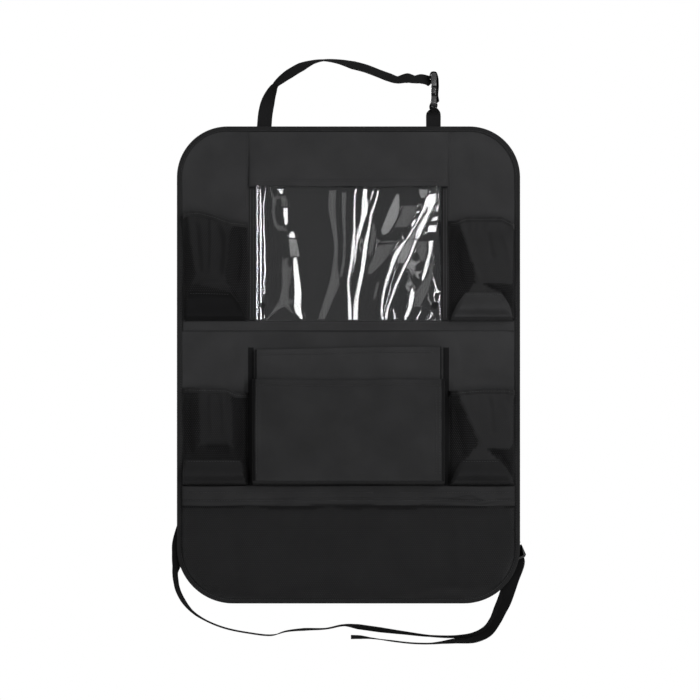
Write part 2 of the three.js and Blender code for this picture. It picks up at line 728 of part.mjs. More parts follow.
function addBuckle(name, frame) {
  placeBuckle(add(`${name}_male`, buckleMale(), BLACK_PLASTIC), frame);
  placeBuckle(add(`${name}_female`, buckleFemale(), BLACK_PLASTIC), frame);
}

add('back_panel', backPanel(), BLACK_CLOTH);
add('edge_binding', edgeBinding(), BLACK_WEBBING);
add('top_flap', topFlap(), BLACK_CLOTH);
add('tablet_film', tabletFilm(), CLEAR_FILM);
add('window_border_left', windowBorder(-1), BORDER_VINYL);
add('window_border_right', windowBorder(1), BORDER_VINYL);
add('seam_tape', seamTape(), BLACK_WEBBING);
addSidePocket('upper_left', sidePocket(-1, UPPER_NET_TOP, SEAM_TAPE_TOP));
addSidePocket('upper_right', sidePocket(1, UPPER_NET_TOP, SEAM_TAPE_TOP));
addSidePocket('lower_left', sidePocket(-1, LOWER_NET_TOP, BOTTOM_POCKET_TOP));
addSidePocket('lower_right', sidePocket(1, LOWER_NET_TOP, BOTTOM_POCKET_TOP));
add('centre_pocket_rear', rearPocket(), BLACK_CLOTH);
add('centre_pocket_front', frontPocket(), BLACK_CLOTH);
addBottomPocket();
add('top_strap', webbing(topStrap(), 3), BLACK_WEBBING);
addBuckle('top_buckle', topBuckle);
const topTabFree = topBuckle.end.z - BUCKLE_LENGTH - PANEL_TOP;
add('top_tab', webbing(tabStops(topBuckle, topTabFree, 90), 3), BLACK_WEBBING);
add('bottom_strap', webbing(bottomStrap(), 3), BLACK_WEBBING);
addBuckle('bottom_buckle', bottomBuckle);
add('bottom_tab', webbing(tabStops(bottomBuckle, BOTTOM_TAB_FREE, 0), 3), BLACK_WEBBING);

export default group;
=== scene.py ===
import math

import bmesh
import bpy
import numpy as np
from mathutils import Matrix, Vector


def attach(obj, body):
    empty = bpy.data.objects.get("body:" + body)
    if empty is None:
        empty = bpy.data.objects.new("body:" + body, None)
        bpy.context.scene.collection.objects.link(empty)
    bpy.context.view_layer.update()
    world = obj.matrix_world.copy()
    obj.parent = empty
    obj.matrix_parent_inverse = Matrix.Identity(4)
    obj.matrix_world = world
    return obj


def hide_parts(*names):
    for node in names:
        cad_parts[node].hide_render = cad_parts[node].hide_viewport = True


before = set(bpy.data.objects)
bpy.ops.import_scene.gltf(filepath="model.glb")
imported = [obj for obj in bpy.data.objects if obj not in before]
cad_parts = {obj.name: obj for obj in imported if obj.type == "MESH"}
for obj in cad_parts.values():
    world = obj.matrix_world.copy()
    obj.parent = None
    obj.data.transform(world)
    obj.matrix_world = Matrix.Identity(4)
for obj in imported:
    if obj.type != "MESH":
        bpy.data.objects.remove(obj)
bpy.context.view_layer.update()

MM = 0.001

# Panel and pockets, as in the frame
PANEL_WIDTH, PANEL_HEIGHT = 446.0, 620.0
TOP_RADIUS, BOTTOM_RADIUS = 66.0, 73.0
PANEL_TOP = -89.0
PANEL_BOTTOM = PANEL_TOP - PANEL_HEIGHT
PANEL_FRONT = -2.0
BINDING_REACH = 7.0
GAP = 0.4
INSIDE_HALF = PANEL_WIDTH / 2 - BINDING_REACH - GAP
WINDOW_WIDTH = 242.0
BORDER_WIDTH = 8.0
COLUMN_HALF = WINDOW_WIDTH / 2 + GAP + BORDER_WIDTH
FLAP_HEM = PANEL_TOP - 79.0
TAPE_TOP = PANEL_TOP - 253.0
TAPE_HEIGHT = 13.0
POCKET_FLOOR = PANEL_TOP - 467.0 + GAP
HOLE_X, HOLE_Z, HOLE_RADIUS = WINDOW_WIDTH / 2 - 9.5, TAPE_TOP + 20.5, 3.9
BAND_HEIGHT = 25.0
CLOTH_THICKNESS, BASE_THICKNESS = 1.1, 0.9
PANEL_THICKNESS, ELASTIC_THICKNESS, STRIP_THICKNESS = 2.0, 1.2, 0.7

# Camera: straight on. A pixel of the picture is PIXEL millimetres at the panel.
PIXEL, PICTURE_WIDTH = 1.3, 700
ORIGIN_COLUMN, ORIGIN_ROW = 348.5, 58.0  # where the frame's X and Z are 0 in the picture
VIEW_WIDTH = PICTURE_WIDTH * PIXEL
SENSOR_WIDTH = 36.0
CAMERA_DISTANCE = 2600.0
VIEW_X, VIEW_Z = 1.95, -379.6
BRIGHT, DIM = 24, 12  # strip lamps off the line of sight, in degrees to either side
STRIP_DISTANCE = 2200.0


def spot(px, py):
    """X and Z in millimetres of a place in the picture."""
    return (px - ORIGIN_COLUMN) * PIXEL, (ORIGIN_ROW - py) * PIXEL


def strip_place(angle):
    """X and Y of a strip lamp at an angle off the line of sight."""
    turn = math.radians(angle)
    return STRIP_DISTANCE * math.sin(turn), -STRIP_DISTANCE * math.cos(turn)


def add_camera():
    data = bpy.data.cameras.new("camera")
    data.sensor_width = SENSOR_WIDTH
    data.lens = data.sensor_width * CAMERA_DISTANCE / VIEW_WIDTH
    data.clip_start, data.clip_end = 0.05, 60.0
    camera = bpy.data.objects.new("camera", data)
    camera.location = (VIEW_X * MM, -CAMERA_DISTANCE * MM, VIEW_Z * MM)
    camera.rotation_euler = (math.pi / 2, 0, 0)
    bpy.context.scene.collection.objects.link(camera)
    bpy.context.scene.camera = camera


add_camera()


# Numbers over a surface


def smooth(t):
    t = np.clip(t, 0.0, 1.0)
    return t * t * (3 - 2 * t)


def swell(t, width):
    """1 where t is 0, fading to nothing over a width to either side."""
    return np.exp(-((t / width) ** 2))


def between(keys, at):
    """A value read smoothly between keys of (place, value)."""
    places = np.array([k[0] for k in keys], float)
    values = np.array([k[1] for k in keys], float)
    i = np.clip(np.searchsorted(places, at, side="right") - 1, 0, len(keys) - 2)
    share = smooth((at - places[i]) / (places[i + 1] - places[i]))
    return values[i] + (values[i + 1] - values[i]) * share


def noise(a, b, size, seed):
    """Smooth noise from -1 to 1 over a plane, with features of a size."""
    table = np.random.default_rng(seed).uniform(-1, 1, (64, 64))
    x, y = np.asarray(a) / size, np.asarray(b) / size
    i, j = np.floor(x).astype(int), np.floor(y).astype(int)
    u, v = x - i, y - j
    u, v = (w**3 * (w * (w * 6 - 15) + 10) for w in (u, v))
    low = table[i % 64, j % 64] * (1 - u) + table[(i + 1) % 64, j % 64] * u
    high = table[i % 64, (j + 1) % 64] * (1 - u) + table[(i + 1) % 64, (j + 1) % 64] * u
    return low * (1 - v) + high * v


def waver(x, size, seed):
    """Smooth noise along x alone."""
    return noise(x, 0 * x, size, seed)


def fold(x, z, route, width, height):
    """A soft ridge along a route of points, fading at its ends."""
    points = np.array(route, float)
    lengths = np.linalg.norm(np.diff(points, axis=0), axis=1)
    total = lengths.sum()
    best = np.full(np.shape(x), 1e9)
    place = np.zeros(np.shape(x))
    done = 0.0
    for start, end, length in zip(points[:-1], points[1:], lengths):
        run = end - start
        share = np.clip(((x - start[0]) * run[0] + (z - start[1]) * run[1]) / length**2, 0, 1)
        far = np.hypot(x - start[0] - share * run[0], z - start[1] - share * run[1])
        place = np.where(far < best, (done + share * length) / total, place)
        best = np.minimum(best, far)
        done += length
    ends = smooth(place / 0.18) * smooth((1 - place) / 0.18)
    return height * swell(best, width) * ends


def folds(x, z, rows):
    """Ridges from rows of (width, height, places in the picture)."""
    return sum(fold(x, z, [spot(*p) for p in route], width, high) for width, high, route in rows)


def outline_rows(rows):
    """Rows of (picture row, left, right) as rising rows of (z, left x, right x)."""
    return np.array([(spot(0, y)[1], spot(a, y)[0], spot(b, y)[0]) for y, a, b in rows])[::-1]


def distances(route):
    """How far along a route of points each of them is."""
    return np.linalg.norm(np.diff(route, axis=0, prepend=route[:1]), axis=1).cumsum()


def half_width(z, inset):
    """Half of the panel's width at a height, inside its outline by an inset."""
    half = PANEL_WIDTH / 2 - inset
    top, bottom = TOP_RADIUS - inset, BOTTOM_RADIUS - inset
    above = np.maximum(z - (PANEL_TOP - inset - top), 0)
    below = np.maximum(PANEL_BOTTOM + inset + bottom - z, 0)
    rounded = top - np.sqrt(np.maximum(top**2 - above**2, 0))
    rounded = rounded + bottom - np.sqrt(np.maximum(bottom**2 - below**2, 0))
    return half - rounded


# Meshes


def make(name, points, faces, material, uv=None):
    mesh = bpy.data.meshes.new(name)
    mesh.from_pydata((np.asarray(points).reshape(-1, 3) * MM).tolist(), [], faces)
    mesh.validate()
    mesh.update()
    if uv is not None:
        corner = np.zeros(len(mesh.loops), int)
        mesh.loops.foreach_get("vertex_index", corner)
        layer = mesh.uv_layers.new(name="metres")
        layer.data.foreach_set("uv", (np.asarray(uv).reshape(-1, 2)[corner] * MM).ravel())
    mesh.polygons.foreach_set("use_smooth", np.ones(len(mesh.polygons), bool))
    mesh.materials.append(material)
    piece = bpy.data.objects.new(name, mesh)
    bpy.context.scene.collection.objects.link(piece)
    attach(piece, "root")
    return piece


def quads(rows, columns, start=0, flip=False):
    i, j = np.meshgrid(np.arange(rows - 1), np.arange(columns - 1), indexing="ij")
    a = (start + i * columns + j).ravel()
    faces = np.stack([a, a + 1, a + columns + 1, a + columns], axis=1)
    return faces[:, ::-1].tolist() if flip else faces.tolist()


def tube(rings, sides, first=0, capped=True):
    """Faces round a tube of rings of points, whose first point has a number."""
    faces = []
    for start in range(first, first + (rings - 1) * sides, sides):
        for k in range(sides):
            a, b = start + k, start + (k + 1) % sides
            faces.append([a, b, b + sides, a + sides])
    if capped:
        faces.append([first + k for k in range(sides)][::-1])
        faces.append([first + (rings - 1) * sides + k for k in range(sides)])
    return faces


def surface_normals(grid):
    normal = np.cross(np.gradient(grid, axis=1), np.gradient(grid, axis=0))
    return normal / np.maximum(np.linalg.norm(normal, axis=2, keepdims=True), 1e-9)


def lengths_over(grid):
    """Lengths across and along the cloth at each point, in millimetres, for its weave."""
    across = np.linalg.norm(np.diff(grid, axis=1, prepend=grid[:, :1]), axis=2).cumsum(axis=1)
    up = np.linalg.norm(np.diff(grid, axis=0, prepend=grid[:1]), axis=2).cumsum(axis=0)
    middle = across.shape[1] // 2
    return np.stack([across - across[:, middle : middle + 1], up], axis=2)


def cut_size(grid):
    """Width and length in metres of the flat cloth: the mean lengths along the grid."""
    across = np.linalg.norm(np.diff(grid, axis=1), axis=2).sum(axis=1).mean()
    up = np.linalg.norm(np.diff(grid, axis=0), axis=2).sum(axis=0).mean()
    return round(float(across) * MM, 3), round(float(up) * MM, 3)


def cloth(name, grid, thickness, material):
    """A closed sheet: the grid is its front, and its back lies a thickness behind."""
    rows, columns = grid.shape[:2]
    count = rows * columns
    back = grid - surface_normals(grid) * thickness
    rim = edge_loop(rows, columns)
    sides = [[a, a + count, b + count, b] for a, b in zip(rim, rim[1:] + rim[:1])]
    faces = quads(rows, columns) + quads(rows, columns, count, flip=True) + sides
    points = np.concatenate([grid.reshape(-1, 3), back.reshape(-1, 3)])
    uv = np.tile(lengths_over(grid).reshape(-1, 2), (2, 1))
    return make(name, points, faces, material, uv)


def edge_loop(rows, columns):
    """Numbers of the points round a grid's rim."""
    bottom = list(range(columns))
    right = [i * columns + columns - 1 for i in range(1, rows)]
    top = [(rows - 1) * columns + j for j in range(columns - 2, -1, -1)]
    left = [i * columns for i in range(rows - 2, 0, -1)]
    return bottom + right + top + left


# Materials


def principled(name, color, roughness, specular=0.5):
    material = bpy.data.materials.new(name)
    material.use_nodes = True
    bsdf = material.node_tree.nodes["Principled BSDF"]
    bsdf.inputs["Base Color"].default_value = (*color, 1)
    bsdf.inputs["Roughness"].default_value = roughness
    bsdf.inputs["Specular IOR Level"].default_value = specular
    return material, bsdf


def node(material, kind, **settings):
    made = material.node_tree.nodes.new(kind)
    for key, value in settings.items():
        setattr(made, key, value)
    return made


def join(material, source, target):
    material.node_tree.links.new(source, target)


def calc(material, operation, first, second=None):
    made = node(material, "ShaderNodeMath", operation=operation)
    for place, value in enumerate((first, second)):
        if isinstance(value, (int, float)):
            made.inputs[place].default_value = value
        elif value is not None:
            join(material, value, made.inputs[place])
    return made.outputs[0]


def speckle(material, where, scale, kind="ShaderNodeTexNoise"):
    """A noise or cell pattern laid over coordinates."""
    made = node(material, kind)
    made.inputs["Scale"].default_value = scale
    join(material, where, made.inputs["Vector"])
    return made


def own_coordinates(material):
    return node(material, "ShaderNodeTexCoord").outputs["Object"]


def uv_parts(material):
    coordinates = node(material, "ShaderNodeUVMap", uv_map="metres")
    parts = node(material, "ShaderNodeSeparateXYZ")
    join(material, coordinates.outputs[0], parts.inputs[0])
    return coordinates.outputs[0], parts.outputs[0], parts.outputs[1]


def mottled(material, bsdf, where, color, spread, size, fine=None):
    """Colour that wanders a little over a size, and over a finer pattern if there is one."""
    cloud = speckle(material, where, 1 / size)
    cloud.inputs["Detail"].default_value = 5.0
    value = cloud.outputs["Fac"]
    if fine is not None:
        value = calc(material, "ADD", calc(material, "MULTIPLY", value, 0.6), fine)
    ramp = node(material, "ShaderNodeValToRGB")
    for number, place, share in ((0, 0.25, 1 - spread), (1, 0.75, 1 + spread)):
        ramp.color_ramp.elements[number].position = place
        ramp.color_ramp.elements[number].color = (*[c * share for c in color], 1)
    join(material, value, ramp.inputs[0])
    join(material, ramp.outputs[0], bsdf.inputs["Base Color"])


def hazed(material, bsdf, scale, low, high):
    """Roughness that wanders between two values."""
    haze = speckle(material, own_coordinates(material), scale)
    spread = node(material, "ShaderNodeMapRange")
    spread.inputs["To Min"].default_value = low
    spread.inputs["To Max"].default_value = high
    join(material, haze.outputs["Fac"], spread.inputs["Value"])
    join(material, spread.outputs[0], bsdf.inputs["Roughness"])


def bumped(material, bsdf, height, strength, distance):
    bump = node(material, "ShaderNodeBump")
    bump.inputs["Strength"].default_value = strength
    bump.inputs["Distance"].default_value = distance
    join(material, height, bump.inputs["Height"])
    join(material, bump.outputs[0], bsdf.inputs["Normal"])


def woven(name, color, pitch, roughness, specular=0.3, spread=0.16):
    """Plain weave: threads that go over and under each other at a pitch."""
    material, bsdf = principled(name, color, roughness, specular)
    where, u, v = uv_parts(material)
    turn = 2 * math.pi / (pitch * MM)
    over = calc(material, "SINE", calc(material, "MULTIPLY", u, turn))
    under = calc(material, "SINE", calc(material, "MULTIPLY", v, turn))
    weave = calc(material, "MULTIPLY", over, under)
    grain = speckle(material, where, 1500.0)
    height = calc(material, "ADD", weave, grain.outputs["Fac"])
    bumped(material, bsdf, height, 0.45, 0.12 * MM)
    fine = calc(material, "MULTIPLY", calc(material, "ADD", weave, 1.6), 0.13)
    mottled(material, bsdf, where, color, spread, 0.05, fine)
    bsdf.inputs["Sheen Weight"].default_value = 0.02
    bsdf.inputs["Sheen Roughness"].default_value = 0.4
    return material


def ribbed(name, color, column, pitch, roughness, specular=0.3):
    """Webbing and tape: columns along the length, each a row of slanting threads."""
    material, bsdf = principled(name, color, roughness, specular)
    where, u, v = uv_parts(material)
    ridge = calc(material, "SINE", calc(material, "MULTIPLY", u, math.pi / (column * MM)))
    ridge = calc(material, "ABSOLUTE", ridge)
    slant = calc(material, "MULTIPLY", v, 2 * math.pi / (pitch * MM))
    slant = calc(material, "ADD", slant, calc(material, "MULTIPLY", ridge, 2.4))
    thread = calc(material, "MULTIPLY", calc(material, "SINE", slant), 0.4)
    height = calc(material, "MULTIPLY", ridge, calc(material, "ADD", thread, 0.9))
    bumped(material, bsdf, height, 0.7, 0.3 * MM)
    fine = calc(material, "MULTIPLY", height, 0.32)
    mottled(material, bsdf, where, color, 0.2, 0.03, fine)
    bsdf.inputs["Sheen Weight"].default_value = 0.02
    return material


def grained(name, color, roughness, specular, size, strength, depth):
    """Moulded or coated surface with a fine grain, in the object's own coordinates."""
    material, bsdf = principled(name, color, roughness, specular)
    where = own_coordinates(material)
    grain = speckle(material, where, 1 / size, "ShaderNodeTexVoronoi")
    bumped(material, bsdf, grain.outputs["Distance"], strength, depth * MM)
    mottled(material, bsdf, where, color, 0.18, 0.02)
    hazed(material, bsdf, 90.0, roughness * 0.8, roughness * 1.25)
    return material


def clear_film():
    material, bsdf = principled("clear_film", (0.012, 0.013, 0.014), 0.07, 1.0)
    bsdf.inputs["IOR"].default_value = 1.5
    bsdf.inputs["Alpha"].default_value = 0.26
    hazed(material, bsdf, 60.0, 0.03, 0.06)
    return material


# Woven cloth: colour, pitch of its threads in millimetres, roughness, specular and colour's spread
CLOTH = woven("black_oxford", (0.0226, 0.0226, 0.0233), 0.9, 0.75, 0.05, 0.26)
# A darker copy of the cloth, painted shade: the gaps beside the centre pockets, their side walls and the
# upper left pocket's base
SHADED = woven("black_oxford_painted_shade", (0.0065, 0.0065, 0.0068), 0.9, 0.85, 0.03)
# Darker cloth: the panel behind the window, and the lower pockets' bases, where it is painted shade
LINING_AND_SHADE = woven("black_lining_and_shade", (0.0125, 0.0125, 0.0129), 0.6, 0.85, 0.03)
NET = woven("black_knit", (0.0225, 0.0225, 0.023), 0.5, 0.85, 0.04)
# The darkest knit, painted shade: where the nets' walls turn away, lie in deep folds or sit under the
# band
DEEP_SHADE_NET = woven("black_knit_deep_shade", (0.0085, 0.0085, 0.0088), 0.5, 0.9, 0.02)
# A darker copy of the cloth for the front pocket and the band, lower down: painted shade
LOW_SHADE_CLOTH = woven("black_oxford_low_shade", (0.0175, 0.0175, 0.018), 0.9, 0.8, 0.04, 0.3)
# A darker knit for the left pockets and the bottom net: painted shade, not a denser knit
SHADOWED_NET = woven("black_knit_in_shade", (0.0148, 0.0148, 0.0152), 0.5, 0.85, 0.04)
# Tape and webbing: colour, width of a column, pitch along it, roughness and specular
TAPE = ribbed("ribbed_tape", (0.0085, 0.0085, 0.0088), 1.1, 1.4, 0.7, 0.08)
ELASTIC = ribbed("ribbed_elastic", (0.014, 0.014, 0.0144), 0.9, 1.2, 0.75, 0.05)
WEBBING = ribbed("webbing", (0.006, 0.006, 0.0062), 1.7, 1.9, 0.9, 0.02)
# A lighter copy of the webbing, painted light, for the top strap and its tab that hang higher
LIT_WEBBING = ribbed("webbing_painted_light", (0.0102, 0.0102, 0.0105), 1.7, 1.9, 0.9, 0.02)
for faded in (WEBBING, LIT_WEBBING):
    faded.node_tree.nodes["Principled BSDF"].inputs["IOR"].default_value = 1.05
THREAD = ribbed("thread", (0.03, 0.03, 0.031), 0.4, 0.5, 0.6, 0.2)
PLASTIC = grained("moulded_plastic", (0.008, 0.008, 0.0084), 0.27, 0.4, 0.0006, 0.12, 0.03)
VINYL = grained("soft_vinyl", (0.0105, 0.0105, 0.011), 0.6, 0.08, 0.0009, 0.3, 0.08)
FILM = clear_film()
# Cloths for the side pockets' bases: the plain cloth, and two darker ones that are painted shade
BASE_CLOTHS = {"plain": CLOTH, "lining_and_shade": LINING_AND_SHADE, "painted_shade": SHADED}


# Stitches


THREAD_SHAPE = [(0.0, 0.0), (0.12, 0.8), (0.5, 1.0), (0.88, 0.8), (1.0, 0.0)]  # (share, thickness)
THREAD_SIDES = 5


def stitch_points(start, end, outward, radius):
    """Rings of points round one thread, which bows outward between its ends."""
    along = (end - start) / max(np.linalg.norm(end - start), 1e-9)
    side = np.cross(along, outward)
    side /= max(np.linalg.norm(side), 1e-9)
    up = np.cross(side, along)
    points = []
    for share, size in THREAD_SHAPE:
        middle = start + (end - start) * share
        middle = middle + outward * radius * (0.9 * math.sin(math.pi * share) - 0.3)
        for turn in 2 * math.pi * np.arange(THREAD_SIDES) / THREAD_SIDES:
            reach = side * math.cos(turn) + up * math.sin(turn)
            points.append(middle + reach * radius * max(size, 0.15))
    return points


def stitches(name, routes, out=(0, -1, 0), pitch=3.4, long=2.7, radius=0.3):
    """A row of short threads along each route of points."""
    points, faces, uvs = [], [], []
    for route in routes:
        route = np.asarray(route, float)
        far = distances(route)
        for start in np.arange(pitch * 0.3, far[-1] - long, pitch):
            ends = [[np.interp(at, far, line) for line in route.T] for at in (start, start + long)]
            faces += tube(len(THREAD_SHAPE), THREAD_SIDES, len(points))
            points += stitch_points(*np.array(ends), np.array(out, float), radius)
            for share, _ in THREAD_SHAPE:
                uvs += [(k * 0.3, start + share * long) for k in range(THREAD_SIDES)]
    return make(name, np.array(points), faces, THREAD, np.array(uvs))


def seam(surface, places, step=3.0, lift=0.15):
    """Points along places (x, z), laid on a surface that gives y."""
    places = np.array(places, float)
    far = distances(places)
    steps = np.linspace(0, far[-1], max(int(far[-1] / step), 2))
    x, z = (np.interp(steps, far, line) for line in places.T)
    return np.stack([x, surface(x, z) - lift, z], axis=1)


# Panel

PANEL_INSET = 1.4  # the panel's cloth ends this far inside the binding's outer edge
STITCH_INSET = 5.5

PANEL_FOLDS = [
    (5.0, 0.5, [(455, 335), (456, 386)]),
    (7.0, 0.4, [(240, 332), (243, 388)]),
    (9.0, 0.9, [(215, 136), (211, 212)]),
    (9.0, 1.0, [(470, 136), (484, 214)]),
    (8.0, 0.9, [(180, 352), (235, 346)]),
    (7.0, 0.8, [(462, 372), (514, 366)]),
]
FLAP_SEAM_X = 133.0


def panel_front(x, z):
    wander = 1.5 * noise(x, z, 95, 3) + 0.45 * noise(x, z, 34, 4)
    seams = -0.35 * swell(x - FLAP_SEAM_X, 1.2) * (z > FLAP_HEM)
    return PANEL_FRONT - (wander + folds(x, z, PANEL_FOLDS) + seams) * edge_fade(x, z)


def edge_fade(x, z):
    near = np.minimum(half_width(z, 0) - np.abs(x), np.minimum(PANEL_TOP - z, z - PANEL_BOTTOM))
    return smooth((near - 4) / 22)


def row_heights(inset, arc, straight):
    """Heights of rows up the panel, crowded where its corners turn."""
    top, bottom = TOP_RADIUS - inset, BOTTOM_RADIUS - inset
    low, high = PANEL_BOTTOM + inset + bottom, PANEL_TOP - inset - top
    turn = np.linspace(0, math.pi / 2, arc + 1)
    between_corners = np.linspace(low, high, straight + 1)[1:-1]
    return np.concatenate([low - bottom * np.cos(turn), between_corners, high + top * np.sin(turn)])


def add_panel():
    z = row_heights(PANEL_INSET, 26, 150)[:, None]
    x = np.linspace(-1, 1, 181)[None, :] * half_width(z, PANEL_INSET)
    z = z + 0 * x
    grid = np.stack([x, panel_front(x, z), z], axis=2)
    piece = cloth("panel_cloth", grid, PANEL_THICKNESS, CLOTH)
    places = np.array([v.co for v in piece.data.vertices])
    count = len(places) // 2
    places[count:] = places[:count] * [1, 0, 1]
    piece.data.vertices.foreach_set("co", places.ravel())
    piece.data.update()
    piece.data.materials.append(LINING_AND_SHADE)
    piece.data.materials.append(SHADED)
    for face in piece.data.polygons:
        x, _, z = face.center / MM
        front = face.normal.y < 0
        lined = front and abs(x) < WINDOW_WIDTH / 2 and TAPE_TOP < z < FLAP_HEM
        # Painted shade on the panel in the narrow gaps beside the centre pockets
        deep = front and COLUMN_HALF - 6 < abs(x) < COLUMN_HALF and POCKET_FLOOR < z < REAR["mouth"]
        face.material_index = 2 if deep else int(lined)
    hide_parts("back_panel")


def outline(inset, arc=24, straight=60):
    """Points (x, z) round the panel, inside its edge by an inset."""
    z = row_heights(inset, arc, straight)
    right = np.stack([half_width(z, inset), z], axis=1)
    left = right[::-1] * [-1, 1]
    across = np.linspace(0, 1, 50)[1:-1, None]
    top = right[-1] + (left[0] - right[-1]) * across
    bottom = left[-1] + (right[0] - left[-1]) * across
    return np.concatenate([right, top, left, bottom])


def binding_profile():
    """Round the tape's section, as (inset, y): its outside over the edge, and its inside back."""
    arc = np.linspace(0, math.pi, 9)
    turned = [(2.4 - 2.4 * math.sin(t), -1.0 + 2.4 * math.cos(t)) for t in arc]
    behind = [(6.9, 0.75), (6.6, 1.3), (5.5, 1.25), (4.4, 1.4)]
    before = [(4.4, -3.4), (5.5, -3.15), (6.6, -3.3), (6.95, -2.9)]
    inside = [(6.6, -2.45), (3.0, -2.5), (1.1, -1.0), (3.0, 0.4), (6.6, 0.35)]
    return behind + turned + before + inside


def add_binding():
    """Tape folded over the edge: a profile carried round the outline, with its rows of stitches."""
    profile = binding_profile()
    base = outline(0.0)
    follow = np.linalg.norm(np.diff(base, axis=0, prepend=base[-1:]), axis=1).cumsum()
    rings = []
    for number, (inset, y) in enumerate(profile):
        points = outline(max(inset, 0.0))
        wander = 0.35 * noise(follow, follow * 0 + number // 4, 23, 8) * (inset > 4)
        toward = np.array([0, (PANEL_TOP + PANEL_BOTTOM) / 2]) - points
        toward /= np.linalg.norm(toward, axis=1, keepdims=True)
        points = points + toward * wander[:, None]
        dimple = 0.12 * np.cos(2 * math.pi * follow / 3.4) * (abs(inset - STITCH_INSET) < 0.2)
        rings.append(np.stack([points[:, 0], y + dimple * np.sign(-y - 1), points[:, 1]], axis=1))
    rows, columns = len(base), len(profile)
    strip = tube(rows + 1, columns, capped=False)
    faces = [[n % (rows * columns) for n in (a, d, c, b)] for a, b, c, d in strip]
    across = np.array([y * 1.0 + inset * 0.9 for inset, y in profile])
    uv = np.stack(np.broadcast_arrays(across[None, :], follow[:, None]), axis=2)
    piece = make("binding", np.stack(rings, axis=1), faces, TAPE, uv)
    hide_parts("edge_binding")
    line = outline(STITCH_INSET)
    line = np.concatenate([line, line[:1]])
    front = np.stack([line[:, 0], 0 * line[:, 0] - 3.3, line[:, 1]], axis=1)
    back = front * [1, 0, 1] + [0, 1.35, 0]
    stitches("binding_stitches_front", [front])
    stitches("binding_stitches_back", [back], out=(0, 1, 0))


# Pockets that stand off the panel


def stand_off(pocket, x, z):
    """How far a pocket's wall stands in front of the panel at a place."""
    share = np.clip((z - pocket["floor"]) / (pocket["mouth"] - pocket["floor"]), 0, 1)
    half = pocket["half"](z)
    out = np.clip(np.abs(x - pocket["centre"]) / half, 0, 1)
    square = between(pocket["square"], share)
    return between(pocket["depth"], share) * (1 - out ** (2 / square)) ** (square / 2)


def wall_surface(pocket, detail):
    def surface(x, z):
        return PANEL_FRONT - GAP - stand_off(pocket, x, z) - detail(x, z)

    return surface


def wall_grid(pocket, surface, columns, rows, low=0.0, high=1.0, mouth=None, crowd=1.0):
    """A pocket's wall between two shares of its height, its mouth's line carried down it."""
    share = low + (high - low) * np.linspace(0, 1, rows + 1)[:, None] ** crowd
    angle = np.pi * (1 - np.linspace(0, 1, columns + 1))[None, :]
    flat_z = pocket["floor"] + share * (pocket["mouth"] - pocket["floor"])
    square = between(pocket["square"], share)
    reach = np.sign(np.cos(angle)) * np.abs(np.cos(angle)) ** square
    x = pocket["centre"] + pocket["half"](flat_z) * reach
    z = flat_z + 0 * x
    y = surface(x, z)
    if mouth:
        z = z + mouth(x) * smooth(share * 1.1 - 0.1)
    return np.stack([x, y, z], axis=2)


def same(half):
    return lambda z: half + 0 * z


def hem(z, edge, height, proud):
    """A folded hem under an edge: a step that ends at its stitching."""
    groove = 0.3 * swell(z - edge + height - 1.5, 0.9)
    return proud * smooth((z - (edge - height)) / 1.2) - groove


FLAP = {
    "centre": 0.0,
    "floor": FLAP_HEM,
    "mouth": PANEL_TOP - BINDING_REACH - GAP,
    "half": same(COLUMN_HALF),
    "square": [(0, 0.35), (0.5, 0.6), (1, 0.9)],
    "depth": [(0, 8.6), (0.15, 8.2), (1, 1.8)],
}


def flap_detail(x, z):
    wander = 0.35 * noise(x, z, 60, 11) + 0.12 * noise(x, z, 19, 12)
    edge = 0.5 * smooth((FLAP_HEM + 9 - z) / 1.2)
    pucker = 0.25 * np.sin(x / 4.1 + 2 * noise(x, z, 30, 13)) * swell(z - FLAP_HEM - 3, 5)
    dip = -fold(x, z, [(-20, FLAP_HEM - 2), (-19, FLAP_HEM + 9)], 2.2, 1.6)
    return (wander + edge + pucker + dip) * smooth((COLUMN_HALF - np.abs(x)) / 10)


def add_flap():
    surface = wall_surface(FLAP, flap_detail)
    grid = wall_grid(FLAP, surface, 150, 56)
    x, _, z = grid.transpose(2, 0, 1)
    lower_edge = 0.9 * waver(x, 26, 14) + 1.4 * swell(x + 20, 3.0)
    grid[:, :, 2] += (1 - smooth((z - FLAP_HEM) / 14)) * lower_edge
    piece = cloth("flap_cloth", grid, CLOTH_THICKNESS, CLOTH)
    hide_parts("top_flap")
    hem_line = [(-118, FLAP_HEM + 8.5), (118, FLAP_HEM + 8.5)]
    lines = [seam(surface, hem_line, lift=0.3)]
    for x in (COLUMN_HALF + 3, -COLUMN_HALF - 2.5):
        lines.append(seam(panel_front, [(x, PANEL_TOP - 9), (x, FLAP_HEM - 28)]))
    threads = stitches("flap_stitches", lines)
